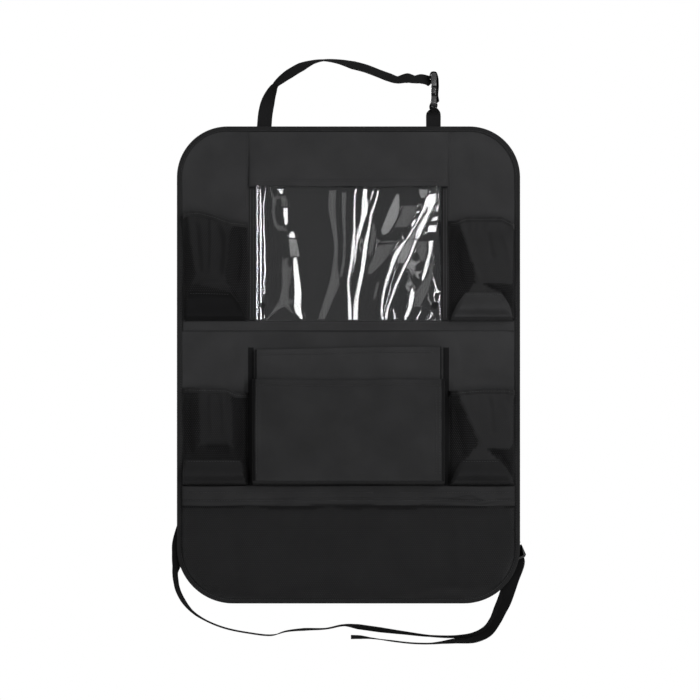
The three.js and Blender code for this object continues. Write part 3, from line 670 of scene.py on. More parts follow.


# Clear window

# What the film mirrors: a strip lamp's angle, and the outline of its reflection, read as
# rows of (picture row, left, right)
REFLECTIONS = [
    (-24, [(187, 256.4, 258.9), (322, 255.8, 258.4)]),
    (24, [(187, 259.2, 261.4), (222, 259.4, 262.6), (322, 259.8, 262.4)]),
    (-24, [(188, 277, 284), (191, 277.4, 284.4), (195, 280.6, 282.6)]),
    (-12, [(196, 280.6, 284), (200, 280.2, 288.4), (206, 283.2, 287.4)]),
    (-24, [(207, 283.4, 288.6), (214, 283, 288.4), (226, 285, 288)]),
    (24, [(231, 290.5, 293.5), (236, 288.6, 295.8), (239, 290, 295)]),
    (12, [(239, 288.4, 297.4), (258, 290, 300.6)]),
    (24, [(257, 293.6, 296.4), (266, 292.8, 298.6), (286, 294.2, 301.6), (296, 294.4, 302.2),
        (306, 293.2, 301.2), (312, 294.6, 301.8), (321, 301.4, 304.2)]),
    (-12, [(190, 328.6, 336.8), (205, 327.4, 335.6), (245, 334, 338.4), (265, 332.6, 338),
        (285, 328.6, 340), (320, 317.6, 325)]),
    (-12, [(192, 341.4, 347), (215, 341.4, 346), (240, 343, 346.4), (260, 342.2, 345.8),
        (278, 338.8, 342.6)]),
    (24, [(188, 354.6, 357.4), (200, 353.4, 355.8), (232, 352.8, 356), (250, 351, 355),
        (260, 350, 354), (280, 346.8, 349.6), (322, 348, 352.6)]),
    (24, [(188, 363, 368.4), (196, 362, 367), (204, 361.2, 368.8), (212, 361, 368),
        (226, 358.6, 363.4), (234, 356, 361.2), (242, 355.6, 358.6), (262, 353.8, 355.6),
        (282, 349.4, 350.6)]),
    (-24, [(189, 372.8, 376), (202, 368.6, 371)]),
    (-24, [(190, 376.8, 379.2), (200, 374.8, 377.6), (216, 368.6, 372.4), (226, 367.8, 371.2),
        (246, 362.6, 368), (270, 360.2, 365), (294, 355, 359.6), (304, 353, 358.6),
        (322, 353, 357.8)]),
    (-12, [(222, 371.6, 374), (232, 371, 376.4), (246, 368.6, 374.6), (256, 367, 371)]),
    (-12, [(282, 376, 379.6), (300, 372.4, 375.6)]),
    (12, [(194, 396, 399.4), (210, 388.4, 399.6), (220, 384.6, 397), (228, 381, 392),
        (236, 381.8, 385)]),
    (-12, [(205, 403, 416.4), (216, 400, 415), (226, 394, 409), (236, 388, 402), (246, 377, 395),
        (256, 373.4, 389), (266, 368.4, 381), (275, 367.4, 371)]),
    (12, [(189, 418.4, 428), (195, 418.8, 427), (199, 420.6, 424)]),
    (12, [(214, 423.4, 425.8), (230, 413.8, 416.4), (246, 403.6, 411.8), (256, 398.6, 408.6),
        (264, 396.2, 404.6)]),
    (24, [(193, 430.6, 434.6), (198, 425.4, 430.8), (206, 423, 428.6), (222, 416.2, 418.8),
        (238, 406, 409.2), (250, 395.6, 401.2), (258, 391.6, 397.4), (284, 383.8, 387.6),
        (296, 381.4, 384.6), (308, 380.2, 382.6), (316, 380.4, 383.4), (322, 382, 384.4)]),
    (24, [(193, 434.4, 436), (198, 430.4, 436.6), (206, 428.2, 434.4), (214, 425.8, 430),
        (230, 416.4, 423), (238, 414.6, 420), (246, 411.8, 415), (254, 409.2, 412.4),
        (280, 396.2, 400.2), (310, 385.6, 388.8), (322, 384.2, 386.8)]),
    (24, [(268, 395, 396.6), (312, 383, 384.6)]),
    (-24, [(309, 391.6, 394.4), (314, 393.4, 396.2), (322, 393, 395.8)]),
    (-24, [(204, 437, 438.8), (212, 434.8, 438.4), (228, 427, 436.6), (236, 426.4, 434.6),
        (244, 428, 433.4), (252, 427.8, 432.2), (276, 421.2, 426.2), (285, 421.6, 424.2)]),
    (-12, [(240, 417, 427), (250, 416, 427), (262, 420.4, 425)]),
    (-12, [(262, 430.4, 434), (276, 426.8, 432), (290, 416, 429), (308, 412, 420)]),
    (24, [(288, 411, 413.2), (293, 409.6, 414.6), (300, 408.4, 414.4), (307, 407.8, 412.8),
        (316, 403.8, 408.4), (322, 403.2, 405.8)]),
    (24, [(309, 420.4, 422.8), (322, 413.8, 416.4)]),
    (-24, [(310, 431.8, 434), (322, 427.2, 429.4)]),
    (-24, [(294, 439, 440.4), (299, 437.6, 440.4), (304, 437.8, 439.4)]),
]


STIFFNESS_ALONG, SETTLE_STEPS = 0.006, 700


def mirror_slope(x, angle):
    """Slope at which the film shows the camera the strip lamp at an angle."""
    lamp_x, lamp_y = strip_place(angle)
    to_eye = np.arctan((VIEW_X - x) / CAMERA_DISTANCE)
    to_lamp = np.arctan((lamp_x - x) / -lamp_y)
    return -np.tan((to_eye + to_lamp) / 2)


def wanted_slopes(x, z):
    """Slopes that the film should have, and how much each place insists on its own."""
    slope = 0.02 * noise(x, z * 0.3, 24, 21)
    firm = np.full(x.shape, 0.004)
    for angle, rows in REFLECTIONS:
        edges = outline_rows(rows)
        left = np.interp(z, edges[:, 0], edges[:, 1])
        right = np.interp(z, edges[:, 0], edges[:, 2])
        inside = smooth((x - left) / 0.9 + 0.5) * smooth((right - x) / 0.9 + 0.5)
        inside *= smooth((z - edges[0, 0] + 1.5) / 2.5) * smooth((edges[-1, 0] + 1.5 - z) / 2.5)
        slope = slope * (1 - inside) + mirror_slope(x, angle) * inside
        firm = np.maximum(firm, inside)
    return slope, firm


def settle(slope, firm, dx, dz):
    """Heights whose slopes along x come nearest to the wanted ones, held at the sheet's rim."""
    shape = (slope.shape[0], slope.shape[1] + 1)
    along = STIFFNESS_ALONG

    def pull(height):
        across = firm * np.diff(height, axis=1) / dx
        up = along * np.diff(height, axis=0) / dz
        out = np.zeros_like(height)
        out[:, 1:] += across / dx
        out[:, :-1] -= across / dx
        out[1:] += up / dz
        out[:-1] -= up / dz
        return out * free

    free = np.zeros(shape)
    free[1:-1, 1:-1] = 1
    goal = np.zeros(shape)
    goal[:, 1:] += firm * slope / dx
    goal[:, :-1] -= firm * slope / dx
    spread = np.full(shape, 2 * along / dz**2)
    spread[:, 1:] += firm / dx**2
    spread[:, :-1] += firm / dx**2
    height = np.zeros(shape)
    rest = goal * free
    aimed = rest / spread
    step = aimed.copy()
    energy = (rest * aimed).sum()
    for _ in range(SETTLE_STEPS):
        pulled = pull(step)
        share = energy / (step * pulled).sum()
        height += share * step
        rest -= share * pulled
        aimed = rest / spread
        fresh = (rest * aimed).sum()
        step = aimed + step * fresh / energy
        energy = fresh
    return height


def film_ripples(x, z, base):
    """Heights of the film's ripples over its base shape."""
    dx, dz = x[0, 1] - x[0, 0], z[1, 0] - z[0, 0]
    middle_x = (x[:, 1:] + x[:, :-1]) / 2
    slope, firm = wanted_slopes(middle_x, z[:, 1:])
    own = np.diff(base, axis=1) / dx
    return settle(slope - own * (firm > 0.01), firm, dx, dz)


def add_film():
    """The film, and the size that it is cut to."""
    low, high = TAPE_TOP + GAP, FLAP_HEM + 9.0
    across = np.linspace(-WINDOW_WIDTH / 2, WINDOW_WIDTH / 2, 411)
    x, z = np.meshgrid(across, np.linspace(low, high, 201))
    share = (z - low) / (high - low)
    lift = (1 - (np.abs(x) / (WINDOW_WIDTH / 2)) ** 8) ** 0.5
    base = between([(0, 1.8), (0.35, 4.4), (1, 4.4)], share) * lift
    tuck = between([(0, 1), (0.93, 1), (0.98, 0.25), (1, 0.25)], share)
    y = PANEL_FRONT - GAP - base - film_ripples(x, z, base) * tuck
    grid = np.stack([x, y, z], axis=2)
    faces = np.array(quads(*x.shape))
    middle = grid.reshape(-1, 3)[faces].mean(axis=1)
    solid = np.hypot(np.abs(middle[:, 0]) - HOLE_X, middle[:, 2] - HOLE_Z) > HOLE_RADIUS
    piece = make("window_film", grid, faces[solid].tolist(), FILM, lengths_over(grid))
    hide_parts("tablet_film")
    add_hole_edges(x, y, z)
    return piece, cut_size(grid)


def add_hole_edges(x, y, z):
    """The film's pressed lip round each punched hole: a profile of (radius, y) turned about it."""
    profile = [(3.5, 0.0), (3.5, -0.25), (HOLE_RADIUS, -0.35), (4.5, -0.2), (4.5, 0.1)]
    turn = np.linspace(0, 2 * math.pi, 25)[:-1]
    points, faces = [], []
    for middle in (-HOLE_X, HOLE_X):
        level = y.ravel()[np.argmin(np.hypot(x - middle, z - HOLE_Z))]
        faces += tube(len(profile), len(turn), len(points), capped=False)
        for radius, out in profile:
            across, up = middle + radius * np.cos(turn), HOLE_Z + radius * np.sin(turn)
            points += [(a, level + out, b) for a, b in zip(across, up)]
    make("film_hole_edges", points, faces, VINYL, None)


def add_strip(name, node_name, ends, material, cells, wave=0.25):
    """A flat strip sewn to the panel between ends (left, right, bottom, top)."""
    left, right, bottom, top = ends
    columns, rows = cells
    x, z = np.meshgrid(np.linspace(left, right, columns + 1), np.linspace(bottom, top, rows + 1))
    edge = np.minimum(np.minimum(x - left, right - x), np.minimum(z - bottom, top - z))
    y = PANEL_FRONT - GAP - 0.75 - 0.45 * smooth(edge / 1.1) - wave * 0.5 * (1 + noise(x, z, 21, 31))
    piece = cloth(name, np.stack([x, y, z], axis=2), STRIP_THICKNESS, material)
    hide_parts(node_name)
    return piece


def add_window_trim():
    """The strips round the window and the tape across, sewn down."""
    bottom, top = TAPE_TOP + GAP, FLAP_HEM - GAP
    near = WINDOW_WIDTH / 2 + GAP
    front = PANEL_FRONT - GAP
    lines = []
    for side, name in ((-1, "left"), (1, "right")):
        ends = (*sorted((side * near, side * (near + BORDER_WIDTH))), bottom, top)
        add_strip(f"border_{name}", f"window_border_{name}", ends, VINYL, (10, 90), 0.1)
        for x in (side * (near + 2.1), side * (near + 5.9)):
            lines.append([(x, front - 1.3, z) for z in np.linspace(top - 2, bottom + 2, 40)])
    ends = (-INSIDE_HALF, INSIDE_HALF, TAPE_TOP - TAPE_HEIGHT, TAPE_TOP)
    tape = add_strip("tape_across", "seam_tape", ends, CLOTH, (220, 12))
    for z in (TAPE_TOP - 2.2, TAPE_TOP - TAPE_HEIGHT + 2.2):
        lines.append([(x, front - 1.35, z) for x in np.linspace(-213, 213, 90)])
    threads = stitches("window_stitches", lines, radius=0.34)


# Centre pockets

REAR = {
    "centre": 0.0,
    "floor": POCKET_FLOOR + 7.0,
    "mouth": PANEL_TOP - 287.0,
    "half": same(COLUMN_HALF - 9.0),
    "square": [(0, 0.18), (1, 0.18)],
    "depth": [(0, 1.8), (0.06, 14.0), (1, 14.0)],
}
FRONT = {
    "centre": 0.0,
    "floor": POCKET_FLOOR,
    "mouth": PANEL_TOP - 327.0,
    "half": same(COLUMN_HALF - 5.0),
    "square": [(0, 0.18), (1, 0.18)],
    "depth": [(0, 1.8), (0.06, 30.0), (1, 30.0)],
}


def rear_detail(x, z):
    top = REAR["mouth"]
    wander = 0.9 * noise(x, z, 50, 41) + 0.25 * noise(x, z, 17, 42)
    pucker = 0.3 * waver(x, 7, 43) * swell(z - top + 6, 6)
    return wander + pucker + hem(z, top, 7.5, 0.5)


FRONT_FOLDS = [
    (9.0, 1.5, [(386, 390), (390, 430), (385, 484)]),
    (8.0, -0.9, [(365, 392), (362, 440), (368, 482)]),
    (10.0, -1.1, [(262, 392), (264, 480)]),
    (12.0, 0.7, [(290, 470), (330, 440), (340, 400)]),
    (8.0, 0.8, [(420, 396), (418, 478)]),
]


def front_detail(x, z):
    top = FRONT["mouth"]
    wander = 0.9 * noise(x, z, 70, 44) + 0.25 * noise(x, z, 21, 45)
    pucker = 0.35 * waver(x, 9, 46) * swell(z - top + 5, 6)
    sides = 0.7 * swell(np.abs(x) - 118, 3.5)
    return wander + pucker + sides + folds(x, z, FRONT_FOLDS) + hem(z, top, 8.0, 0.5)


def rear_mouth(x):
    return 1.9 * x / 115 - 0.7 + 0.6 * waver(x, 40, 47)


def front_mouth(x):
    return -0.8 + 0.6 * waver(x, 46, 48) - 1.0 * swell(x, 50)


def add_centre_pockets():
    rows = (
        ("rear", REAR, rear_detail, rear_mouth, CLOTH, (112, 7)),
        # The front pocket's darker cloth is painted shade
        ("front", FRONT, front_detail, front_mouth, LOW_SHADE_CLOTH, (116, 7.5)),
    )
    lines = []
    for name, pocket, detail, mouth, material, (reach, drop) in rows:
        surface = wall_surface(pocket, detail)
        grid = wall_grid(pocket, surface, 170, 110, mouth=mouth, crowd=1.6)
        piece = cloth(f"pocket_cloth_{name}", grid, CLOTH_THICKNESS, material)
        # Faces turned sideways, the pockets' side walls, take the darker cloth as painted shade
        piece.data.materials.append(SHADED)
        for face in piece.data.polygons:
            face.material_index = int(abs(face.normal.x) > 0.5)
        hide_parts(f"centre_pocket_{name}")
        z = pocket["mouth"] - drop
        line = seam(surface, [(-reach, z), (reach, z)], lift=0.25)
        line[:, 2] += mouth(line[:, 0])
        lines.append(line)
    for x in (-118.5, 117.5, 112.5):
        upright = [(x, FRONT["mouth"] - 10), (x, FRONT["floor"] + 14)]
        lines.append(seam(wall_surface(FRONT, front_detail), upright, lift=0.2))
    stitches("pocket_stitches", lines, radius=0.32)


# Net pockets

NET_HOLE = 0.6  # a hole's size over its cell's
SIDE_PITCH, BOTTOM_PITCH = 2.6, 2.8


def net_piece(name, surface, region, inside, pitch, material, place=None, folded=None):
    """A knitted net: six-sided cells with a hole each, laid over a surface. Its threads are rounded."""
    left, right, bottom, top = region
    radius = pitch / math.sqrt(3)
    rise = radius * 1.5
    row, column = np.mgrid[: int((top - bottom) / rise) + 2, : int((right - left) / pitch) + 2]
    shift = 0.5 * pitch * (row % 2)
    places = (left + shift + column * pitch).ravel(), (bottom + row * rise).ravel()
    centres = np.stack(places, axis=1)[inside(*places)]
    turn = np.radians(30 + 60 * np.arange(6))
    ring = np.stack([np.cos(turn), np.sin(turn)], axis=1)
    corners = centres[:, None, :] + ring[None] * radius
    holes = centres[:, None, :] + ring[None] * radius * NET_HOLE
    keys = np.round(corners.reshape(-1, 2), 2)
    unique, where = np.unique(keys, axis=0, return_inverse=True)
    where = where.reshape(-1, 6)
    count = len(unique)
    inner = count + np.arange(len(centres) * 6).reshape(-1, 6)
    faces = []
    for k in range(6):
        n = (k + 1) % 6
        faces.append(np.stack([where[:, k], inner[:, k], inner[:, n], where[:, n]], axis=1))
    faces = np.concatenate(faces)[:, ::-1].tolist()
    flat = np.concatenate([unique, holes.reshape(-1, 2)])
    x, z = flat[:, 0], flat[:, 1]
    y = surface(x, z)
    y[count:] += 0.28
    y[:count] -= 0.12
    if place:
        z = z + place(x, z)
    points = np.stack([x, y, z], axis=1)
    piece = make(name, points, faces, material, flat)
    # Cells that the folded mask picks take the darkest knit: painted shade
    if folded:
        piece.data.materials.append(DEEP_SHADE_NET)
        dark = folded(centres[:, 0], centres[:, 1]).astype(np.int32)
        piece.data.polygons.foreach_set("material_index", np.tile(dark, 6))
    return piece


UPPER_MOUTH, LOWER_MOUTH = PANEL_TOP - 118.0, PANEL_TOP - 341.0
ELASTIC_HEIGHT = 7.0
SIDE_INNER = COLUMN_HALF + GAP
SIDE_HALF = (INSIDE_HALF - SIDE_INNER) / 2
BASE_SHARE = 0.27
STAND = [(0, 1.8), (0.04, 15.4), (0.12, 22.0), (0.27, 11.0), (0.65, 17.5), (1, 24.0)]
OVERHANG = [(0, 1.8), (0.05, 8.0), (0.2, 13.0), (0.29, 19.0), (0.4, 15.0), (0.7, 17.0), (1, 23.0)]

# Each side pocket: its side, its base's left and right at the foot and then at the top, its cloth
# (darker on three bases: painted shade), mouth and floor, rows of (picture row, left, right) of its
# face and of a part in deep folds where its net is painted in shade, its mouth's line and its folds
SIDES = {
    "upper_left": {
        "side": -1,
        "base": (186, 246, 190, 231),
        "cloth": "painted_shade",
        "mouth": UPPER_MOUTH,
        "floor": TAPE_TOP + GAP,
        "depth": OVERHANG,
        "dark": [(284, 186, 190), (291, 188, 226), (294, 190, 232)],
        "face": [(213, 189, 236), (235, 191, 228), (276, 198, 224), (293, 190, 232), (320, 187, 245)],
        "edge": [(180, 218), (186, 213), (200, 212), (215, 216), (232, 222), (250, 223)],
        "folds": [
            (2.2, 3.0, [(212, 220), (212.5, 245), (211, 276)]),
            (5.0, -7.0, [(221, 224), (222, 250), (219, 280)]),
            (4.0, -5.0, [(197, 226), (199, 255), (201, 278)]),
            (4.0, -8.0, [(239, 226), (240, 256), (236, 286)]),
            (4.0, 4.0, [(190, 300), (203, 285), (222, 283), (236, 291), (246, 316)]),
            (5.0, 3.5, [(192, 219), (206, 216), (222, 221)]),
        ],
    },
    "upper_right": {
        "side": 1,
        "base": (450, 512, 465, 501),
        "cloth": "plain",
        "mouth": UPPER_MOUTH,
        "floor": TAPE_TOP + GAP,
        "depth": STAND,
        "dark": [(284, 482, 512), (292, 501, 513), (320, 511, 515)],
        "face": [(222, 459, 511), (240, 466, 512), (282, 479, 512), (294, 468, 503), (320, 452, 511)],
        "edge": [(448, 221), (455, 222), (465, 218), (500, 218), (508, 222), (518, 228)],
        "folds": [
            (3.5, 2.4, [(461, 226), (466, 243), (473, 266), (480, 284)]),
            (5.0, -8.0, [(455, 228), (457, 255), (460, 288)]),
            (4.0, -6.0, [(480, 285), (492, 289), (506, 298), (513, 316)]),
            (5.0, 1.6, [(500, 226), (508, 250), (513, 275)]),
            (3.5, -2.4, [(486, 230), (492, 262)]),
        ],
    },
    "lower_left": {
        "side": -1,
        "base": (182, 247, 184, 241),
        "cloth": "lining_and_shade",
        "mouth": LOWER_MOUTH,
        "floor": POCKET_FLOOR,
        "depth": STAND,
        "dark": [(444, 205, 229), (450, 187, 240), (461, 186, 241)],
        "face": [(388, 201, 231), (443, 203, 231), (456, 188, 240), (485, 184, 246)],
        "edge": [(180, 388), (190, 387), (228, 388), (236, 392), (251, 393)],
        "folds": [
            (4.5, -8.0, [(191, 394), (190, 425), (192, 460)]),
            (6.0, -8.0, [(204, 447), (217, 449), (230, 447)]),
            (4.5, -8.0, [(238, 396), (240, 430), (238, 462)]),
            (3.0, 2.0, [(212, 392), (212, 415), (214, 438)]),
            (2.6, 1.6, [(224, 394), (225, 415), (224, 438)]),
        ],
    },
    "lower_right": {
        "side": 1,
        "base": (450, 514, 462, 499),
        "cloth": "lining_and_shade",
        "mouth": LOWER_MOUTH,
        "floor": POCKET_FLOOR,
        "depth": STAND,
        "dark": [(449, 487, 513), (462, 500, 514), (480, 511, 515)],
        "face": [(390, 457, 512), (400, 461, 512), (444, 481, 512), (462, 464, 497), (485, 452, 511)],
        "edge": [(446, 391), (456, 390), (480, 388), (505, 388), (520, 391)],
        "folds": [
            (3.5, 2.4, [(457, 393), (466, 408), (474, 428), (483, 446)]),
            (5.0, -8.0, [(454, 398), (458, 428), (463, 458)]),
            (5.0, -8.0, [(486, 450), (500, 455), (511, 474)]),
            (5.0, 1.6, [(502, 394), (508, 420), (511, 444)]),
            (3.5, -2.4, [(488, 396), (492, 436)]),
        ],
    },
}


def side_pocket(setup):
    """A side pocket's place, its wall's surface, its mouth's line and where its net is painted in shade.
    """
    centre = setup["side"] * (SIDE_INNER + INSIDE_HALF) / 2
    pocket = {
        "centre": centre,
        "floor": setup["floor"],
        "mouth": setup["mouth"],
        "half": same(SIDE_HALF),
        "square": [(0, 0.5), (BASE_SHARE, 1.1), (1, 0.6)],
    }
    line = np.array([spot(*p) for p in setup["edge"]])
    face, dark = outline_rows(setup["face"]), outline_rows(setup["dark"])

    def rise(x, z):
        left = np.interp(z, face[:, 0], face[:, 1]) - (centre - SIDE_HALF)
        right = (centre + SIDE_HALF) - np.interp(z, face[:, 0], face[:, 2])
        risen = np.minimum((x - centre + SIDE_HALF) / left, (centre + SIDE_HALF - x) / right)
        return np.clip(risen, 0, 1)

    # Where the net is painted in shade: its walls turned away and the part in deep folds
    def folded(x, z):
        level = (z > dark[0, 0]) & (z < dark[-1, 0])
        left, right = (np.interp(z, dark[:, 0], dark[:, k]) for k in (1, 2))
        ragged = 0.06 * noise(x, z, 6, 54)
        return (rise(x, z) < 0.9 + ragged) | (level & (x > left) & (x < right))

    def surface(x, z):
        share = (z - pocket["floor"]) / (pocket["mouth"] - pocket["floor"])
        risen = rise(x, z)
        ruffle = 0.6 * np.sin(x / 1.9 + 3 * noise(x, z, 25, 52)) * smooth((share - 0.72) / 0.28)
        wander = 1.0 * noise(x, z, 24, 51) + 0.35 * noise(x, z, 9, 53)
        detail = folds(x, z, setup["folds"]) + wander + ruffle
        stand = between(setup["depth"], np.clip(share, 0, 1)) * (1 - (1 - risen) ** 1.6)
        stand = stand + detail * smooth(risen / 0.45) * smooth(share / 0.08)
        return PANEL_FRONT - GAP - np.maximum(stand, 1.4 * smooth(risen / 0.15))

    def mouth(x):
        return np.interp(x, line[:, 0], line[:, 1]) - pocket["mouth"]

    return pocket, surface, mouth, folded


def base_outline(setup, pocket, top):
    """A base's left and right edges as a function of height, bowed out where it narrows much."""
    foot_left, foot_right, top_left, top_right = (spot(px, 0)[0] for px in setup["base"])
    reach = SIDE_HALF - 0.2

    def edges(z):
        share = np.clip((z - pocket["floor"]) / (top - pocket["floor"]), 0, 1)
        bow = 3.0 * np.sin(np.pi * share)
        left = foot_left + (top_left - foot_left) * share - bow * (top_left - foot_left > 9)
        right = foot_right + (top_right - foot_right) * share + bow * (foot_right - top_right > 9)
        return np.maximum(left, pocket["centre"] - reach), np.minimum(right, pocket["centre"] + reach)

    return edges


def add_side_pocket(name, setup):
    """A side pocket: its cloth base, its net, the elastic along its mouth and its stitches."""
    pocket, surface, mouth, folded = side_pocket(setup)
    floor, centre = pocket["floor"], pocket["centre"]
    height = pocket["mouth"] - floor
    elastic = 1 - ELASTIC_HEIGHT / height
    top = floor + height * BASE_SHARE
    high = floor + height * elastic + 1.5
    base_edges = base_outline(setup, pocket, top)

    def place(x, z):
        return mouth(x) * smooth((z - floor) / height * 1.1 - 0.1)

    def inside(x, z):
        left, right = base_edges(z)
        open_part = (z > top - 1.5) | (x < left + 1.5) | (x > right - 1.5)
        return (np.abs(x - centre) < SIDE_HALF - 0.4) & (z < high) & open_part

    z = np.linspace(floor, top, 46)[:, None]
    left, right = base_edges(z)
    x = left + (right - left) * (0.5 - 0.5 * np.cos(np.linspace(0, math.pi, 81)))[None, :]
    z = z + 0 * x
    roll = 0.35 * swell(z - top + 1.5, 1.2)
    grid = np.stack([x, surface(x, z) - 0.35 - roll, z + place(x, z)], axis=2)
    look = BASE_CLOTHS[setup["cloth"]]
    base = cloth(f"{name}_base_cloth", grid, BASE_THICKNESS, look)
    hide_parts(f"{name}_base")
    region = (centre - SIDE_HALF, centre + SIDE_HALF, floor, high)
    # Left pockets take the darker knit: painted shade, as the light falls from the right
    knit = SHADOWED_NET if setup["side"] < 0 else NET
    net = net_piece(f"{name}_net_cloth", surface, region, inside, SIDE_PITCH, knit, place, folded)
    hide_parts(f"{name}_net")
    cut = cut_size(wall_grid(pocket, surface, 70, 60, 0.0, elastic, mouth))
    strip = wall_grid(pocket, surface, 90, 6, elastic, 1.0, mouth)
    strip[:, :, 1] -= 0.3
    band = cloth(f"{name}_elastic_tape", strip, ELASTIC_THICKNESS, ELASTIC)
    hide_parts(f"{name}_elastic")
    x = np.linspace(centre - SIDE_HALF + 3, centre + SIDE_HALF - 3, 60)
    z = pocket["mouth"] - 3.4 + 0 * x
    upper = np.stack([x, surface(x, z) - 0.45, z + mouth(x)], axis=1)
    left, right = base_edges(top - 2.0)
    x = np.linspace(left + 1, right - 1, 40)
    z = top - 2.0 + 0 * x
    lower = np.stack([x, surface(x, z) - 0.6, z + place(x, z)], axis=1)
    threads = stitches(f"{name}_stitches", [upper, lower])


BOTTOM = {
    "centre": 0.0,
    "floor": PANEL_BOTTOM + BINDING_REACH + GAP,
    "mouth": PANEL_TOP - 467.0,
    "half": lambda z: half_width(z, BINDING_REACH + GAP),
    "square": [(0, 0.25), (1, 0.25)],
    "depth": [(0, 1.8), (0.3, 12.0), (1, 12.0)],
}


BOTTOM_FOLDS = [
    (8.0, 2.4, [(455, 508), (457, 550), (460, 590)]),
    (9.0, -1.8, [(232, 510), (236, 555), (240, 590)]),
    (10.0, -1.6, [(330, 512), (326, 560), (320, 596)]),
    (7.0, 1.4, [(203, 510), (205, 560)]),
    (2.2, 1.5, [(446, 497), (470, 493), (486, 499), (514, 496)]),
    (1.8, -1.2, [(430, 500), (455, 499), (480, 504), (512, 499)]),
]


def bottom_detail(x, z):
    top = BOTTOM["mouth"]
    share = (z - BOTTOM["floor"]) / (top - BOTTOM["floor"])
    wander = 2.3 * noise(x, z, 62, 61) + 0.9 * noise(x, z, 23, 62)
    pucker = 0.55 * noise(x, z * 0.3, 9, 63) * swell(z - top + 22, 7)
    wave = 0.8 * smooth((x - 100) / 60) * np.sin(x / 9.0) * swell(z - top + 16, 9)
    out = np.abs(x) / BOTTOM["half"](z)
    detail = wander + pucker + folds(x, z, BOTTOM_FOLDS) + wave
    return detail * smooth((1 - out) / 0.12) * smooth(share / 0.08)


def band_detail(x, z):
    """The band over the net's top: a rolled mouth, a turned lower edge and gathers."""
    down = z - BOTTOM["mouth"]
    sag = 1.6 * waver(x, 38, 65)
    turned = 1.1 * swell(down + 21.5 + sag, 2.4) - 1.0 * swell(down + 17.5 + sag, 1.3)
    gathers = 0.8 * noise(x, z * 0.3, 13, 67) * smooth((PANEL_WIDTH / 2 - 20 - np.abs(x)) / 20)
    return bottom_detail(x, z) + 0.5 * swell(down + 4, 3.0) + turned + np.maximum(gathers, -0.3)


def add_bottom_pocket():
    height = BOTTOM["mouth"] - BOTTOM["floor"]
    share = 1 - BAND_HEIGHT / height
    surface, band_surface = wall_surface(BOTTOM, bottom_detail), wall_surface(BOTTOM, band_detail)
    grid = wall_grid(BOTTOM, band_surface, 260, 34, share, 1.0, lambda x: 0.6 * waver(x, 44, 64))
    # The band's darker cloth is painted shade
    band = cloth("band_cloth", grid, CLOTH_THICKNESS, LOW_SHADE_CLOTH)
    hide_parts("bottom_pocket_band")
    line = BOTTOM["floor"] + height * share + 1.5

    def inside(x, z):
        return (np.abs(x) < BOTTOM["half"](z) - 0.3) & (z < line)

    # A painted shadow on the net just under the band's lower edge
    def band_shadow(x, z):
        return z > line - 4.2 - 2.4 * waver(x, 24, 66)

    region = (-INSIDE_HALF, INSIDE_HALF, BOTTOM["floor"], line)
    # The bottom net takes the darker knit, painted shade, and the darkest under the band
    net = net_piece("bottom_net_cloth", surface, region, inside, BOTTOM_PITCH, SHADOWED_NET, None, band_shadow)
    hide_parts("bottom_pocket_net")
    grid = wall_grid(BOTTOM, surface, 200, 80, 0.0, share)
    levels = (BOTTOM["mouth"] - 8.0, BOTTOM["mouth"] - 18.0)
    lines = [seam(band_surface, [(-210, z), (210, z)], lift=0.2) for z in levels]
    threads = stitches("band_stitches", lines)


# Webbing and buckles

STRAP_WIDTH, STRAP_THICKNESS, STRAP_SEWN = 19.0, 1.3, 26.0
BUCKLE_WIDTH, BUCKLE_THICKNESS = 27.0, 6.6
OUTER_BAR, SLOT, CENTRE_BAR, CENTRE_BAR_DEPTH = 3.5, 3.6, 2.6, 3.0
SLOT_B = OUTER_BAR + SLOT / 2
SLOT_A = OUTER_BAR + SLOT + CENTRE_BAR + SLOT / 2
LADDER_LENGTH = OUTER_BAR + 2 * SLOT + CENTRE_BAR + 4.0
GRIP_END = LADDER_LENGTH + GAP + 11.5
TAB_SLOT = GRIP_END + 8.0 + SLOT / 2
BUCKLE_LENGTH = TAB_SLOT + SLOT / 2 + 2.4
LAY = STRAP_THICKNESS / 2 + GAP
BINDING_BACK = GAP + 1.0
STRAP_PLANE = BINDING_BACK + GAP + STRAP_THICKNESS / 2
TAB_SPREAD = 1.1
LOOP_RISE, LOOP_BULGE = 89.0, 10.0
LOOP_DROP, LOOP_DEPTH, TAIL_DEPTH = 50.0, 6.0, 3.0
BOTTOM_FREE = 8.0  # of the bottom tab, between its buckle and its sewn end
FACE = BUCKLE_THICKNESS / 2 + LAY  # a strap's middle, when it lies on a buckle
DEPTHWISE = np.array([0.0, 1.0, 0.0])

# Each buckle: its ladder's end, the way that its length runs, and the way through it
TILT = math.radians(24)
BOTTOM_DEPTH = BINDING_BACK + BUCKLE_THICKNESS / 2 + STRAP_THICKNESS + 2 * GAP
TOP_BUCKLE = (
    np.array([110.5, STRAP_PLANE + TAB_SPREAD, -20.0]),
    np.array([0.0, 0.0, -1.0]),
    np.array([1.0, 0.0, 0.0]),
)
BOTTOM_BUCKLE = (
    np.array([PANEL_WIDTH / 2 - 3, BOTTOM_DEPTH, PANEL_BOTTOM + 55]),
    np.array([-math.sin(TILT), 0.0, math.cos(TILT)]),
    np.array([0.0, -1.0, 0.0]),
)

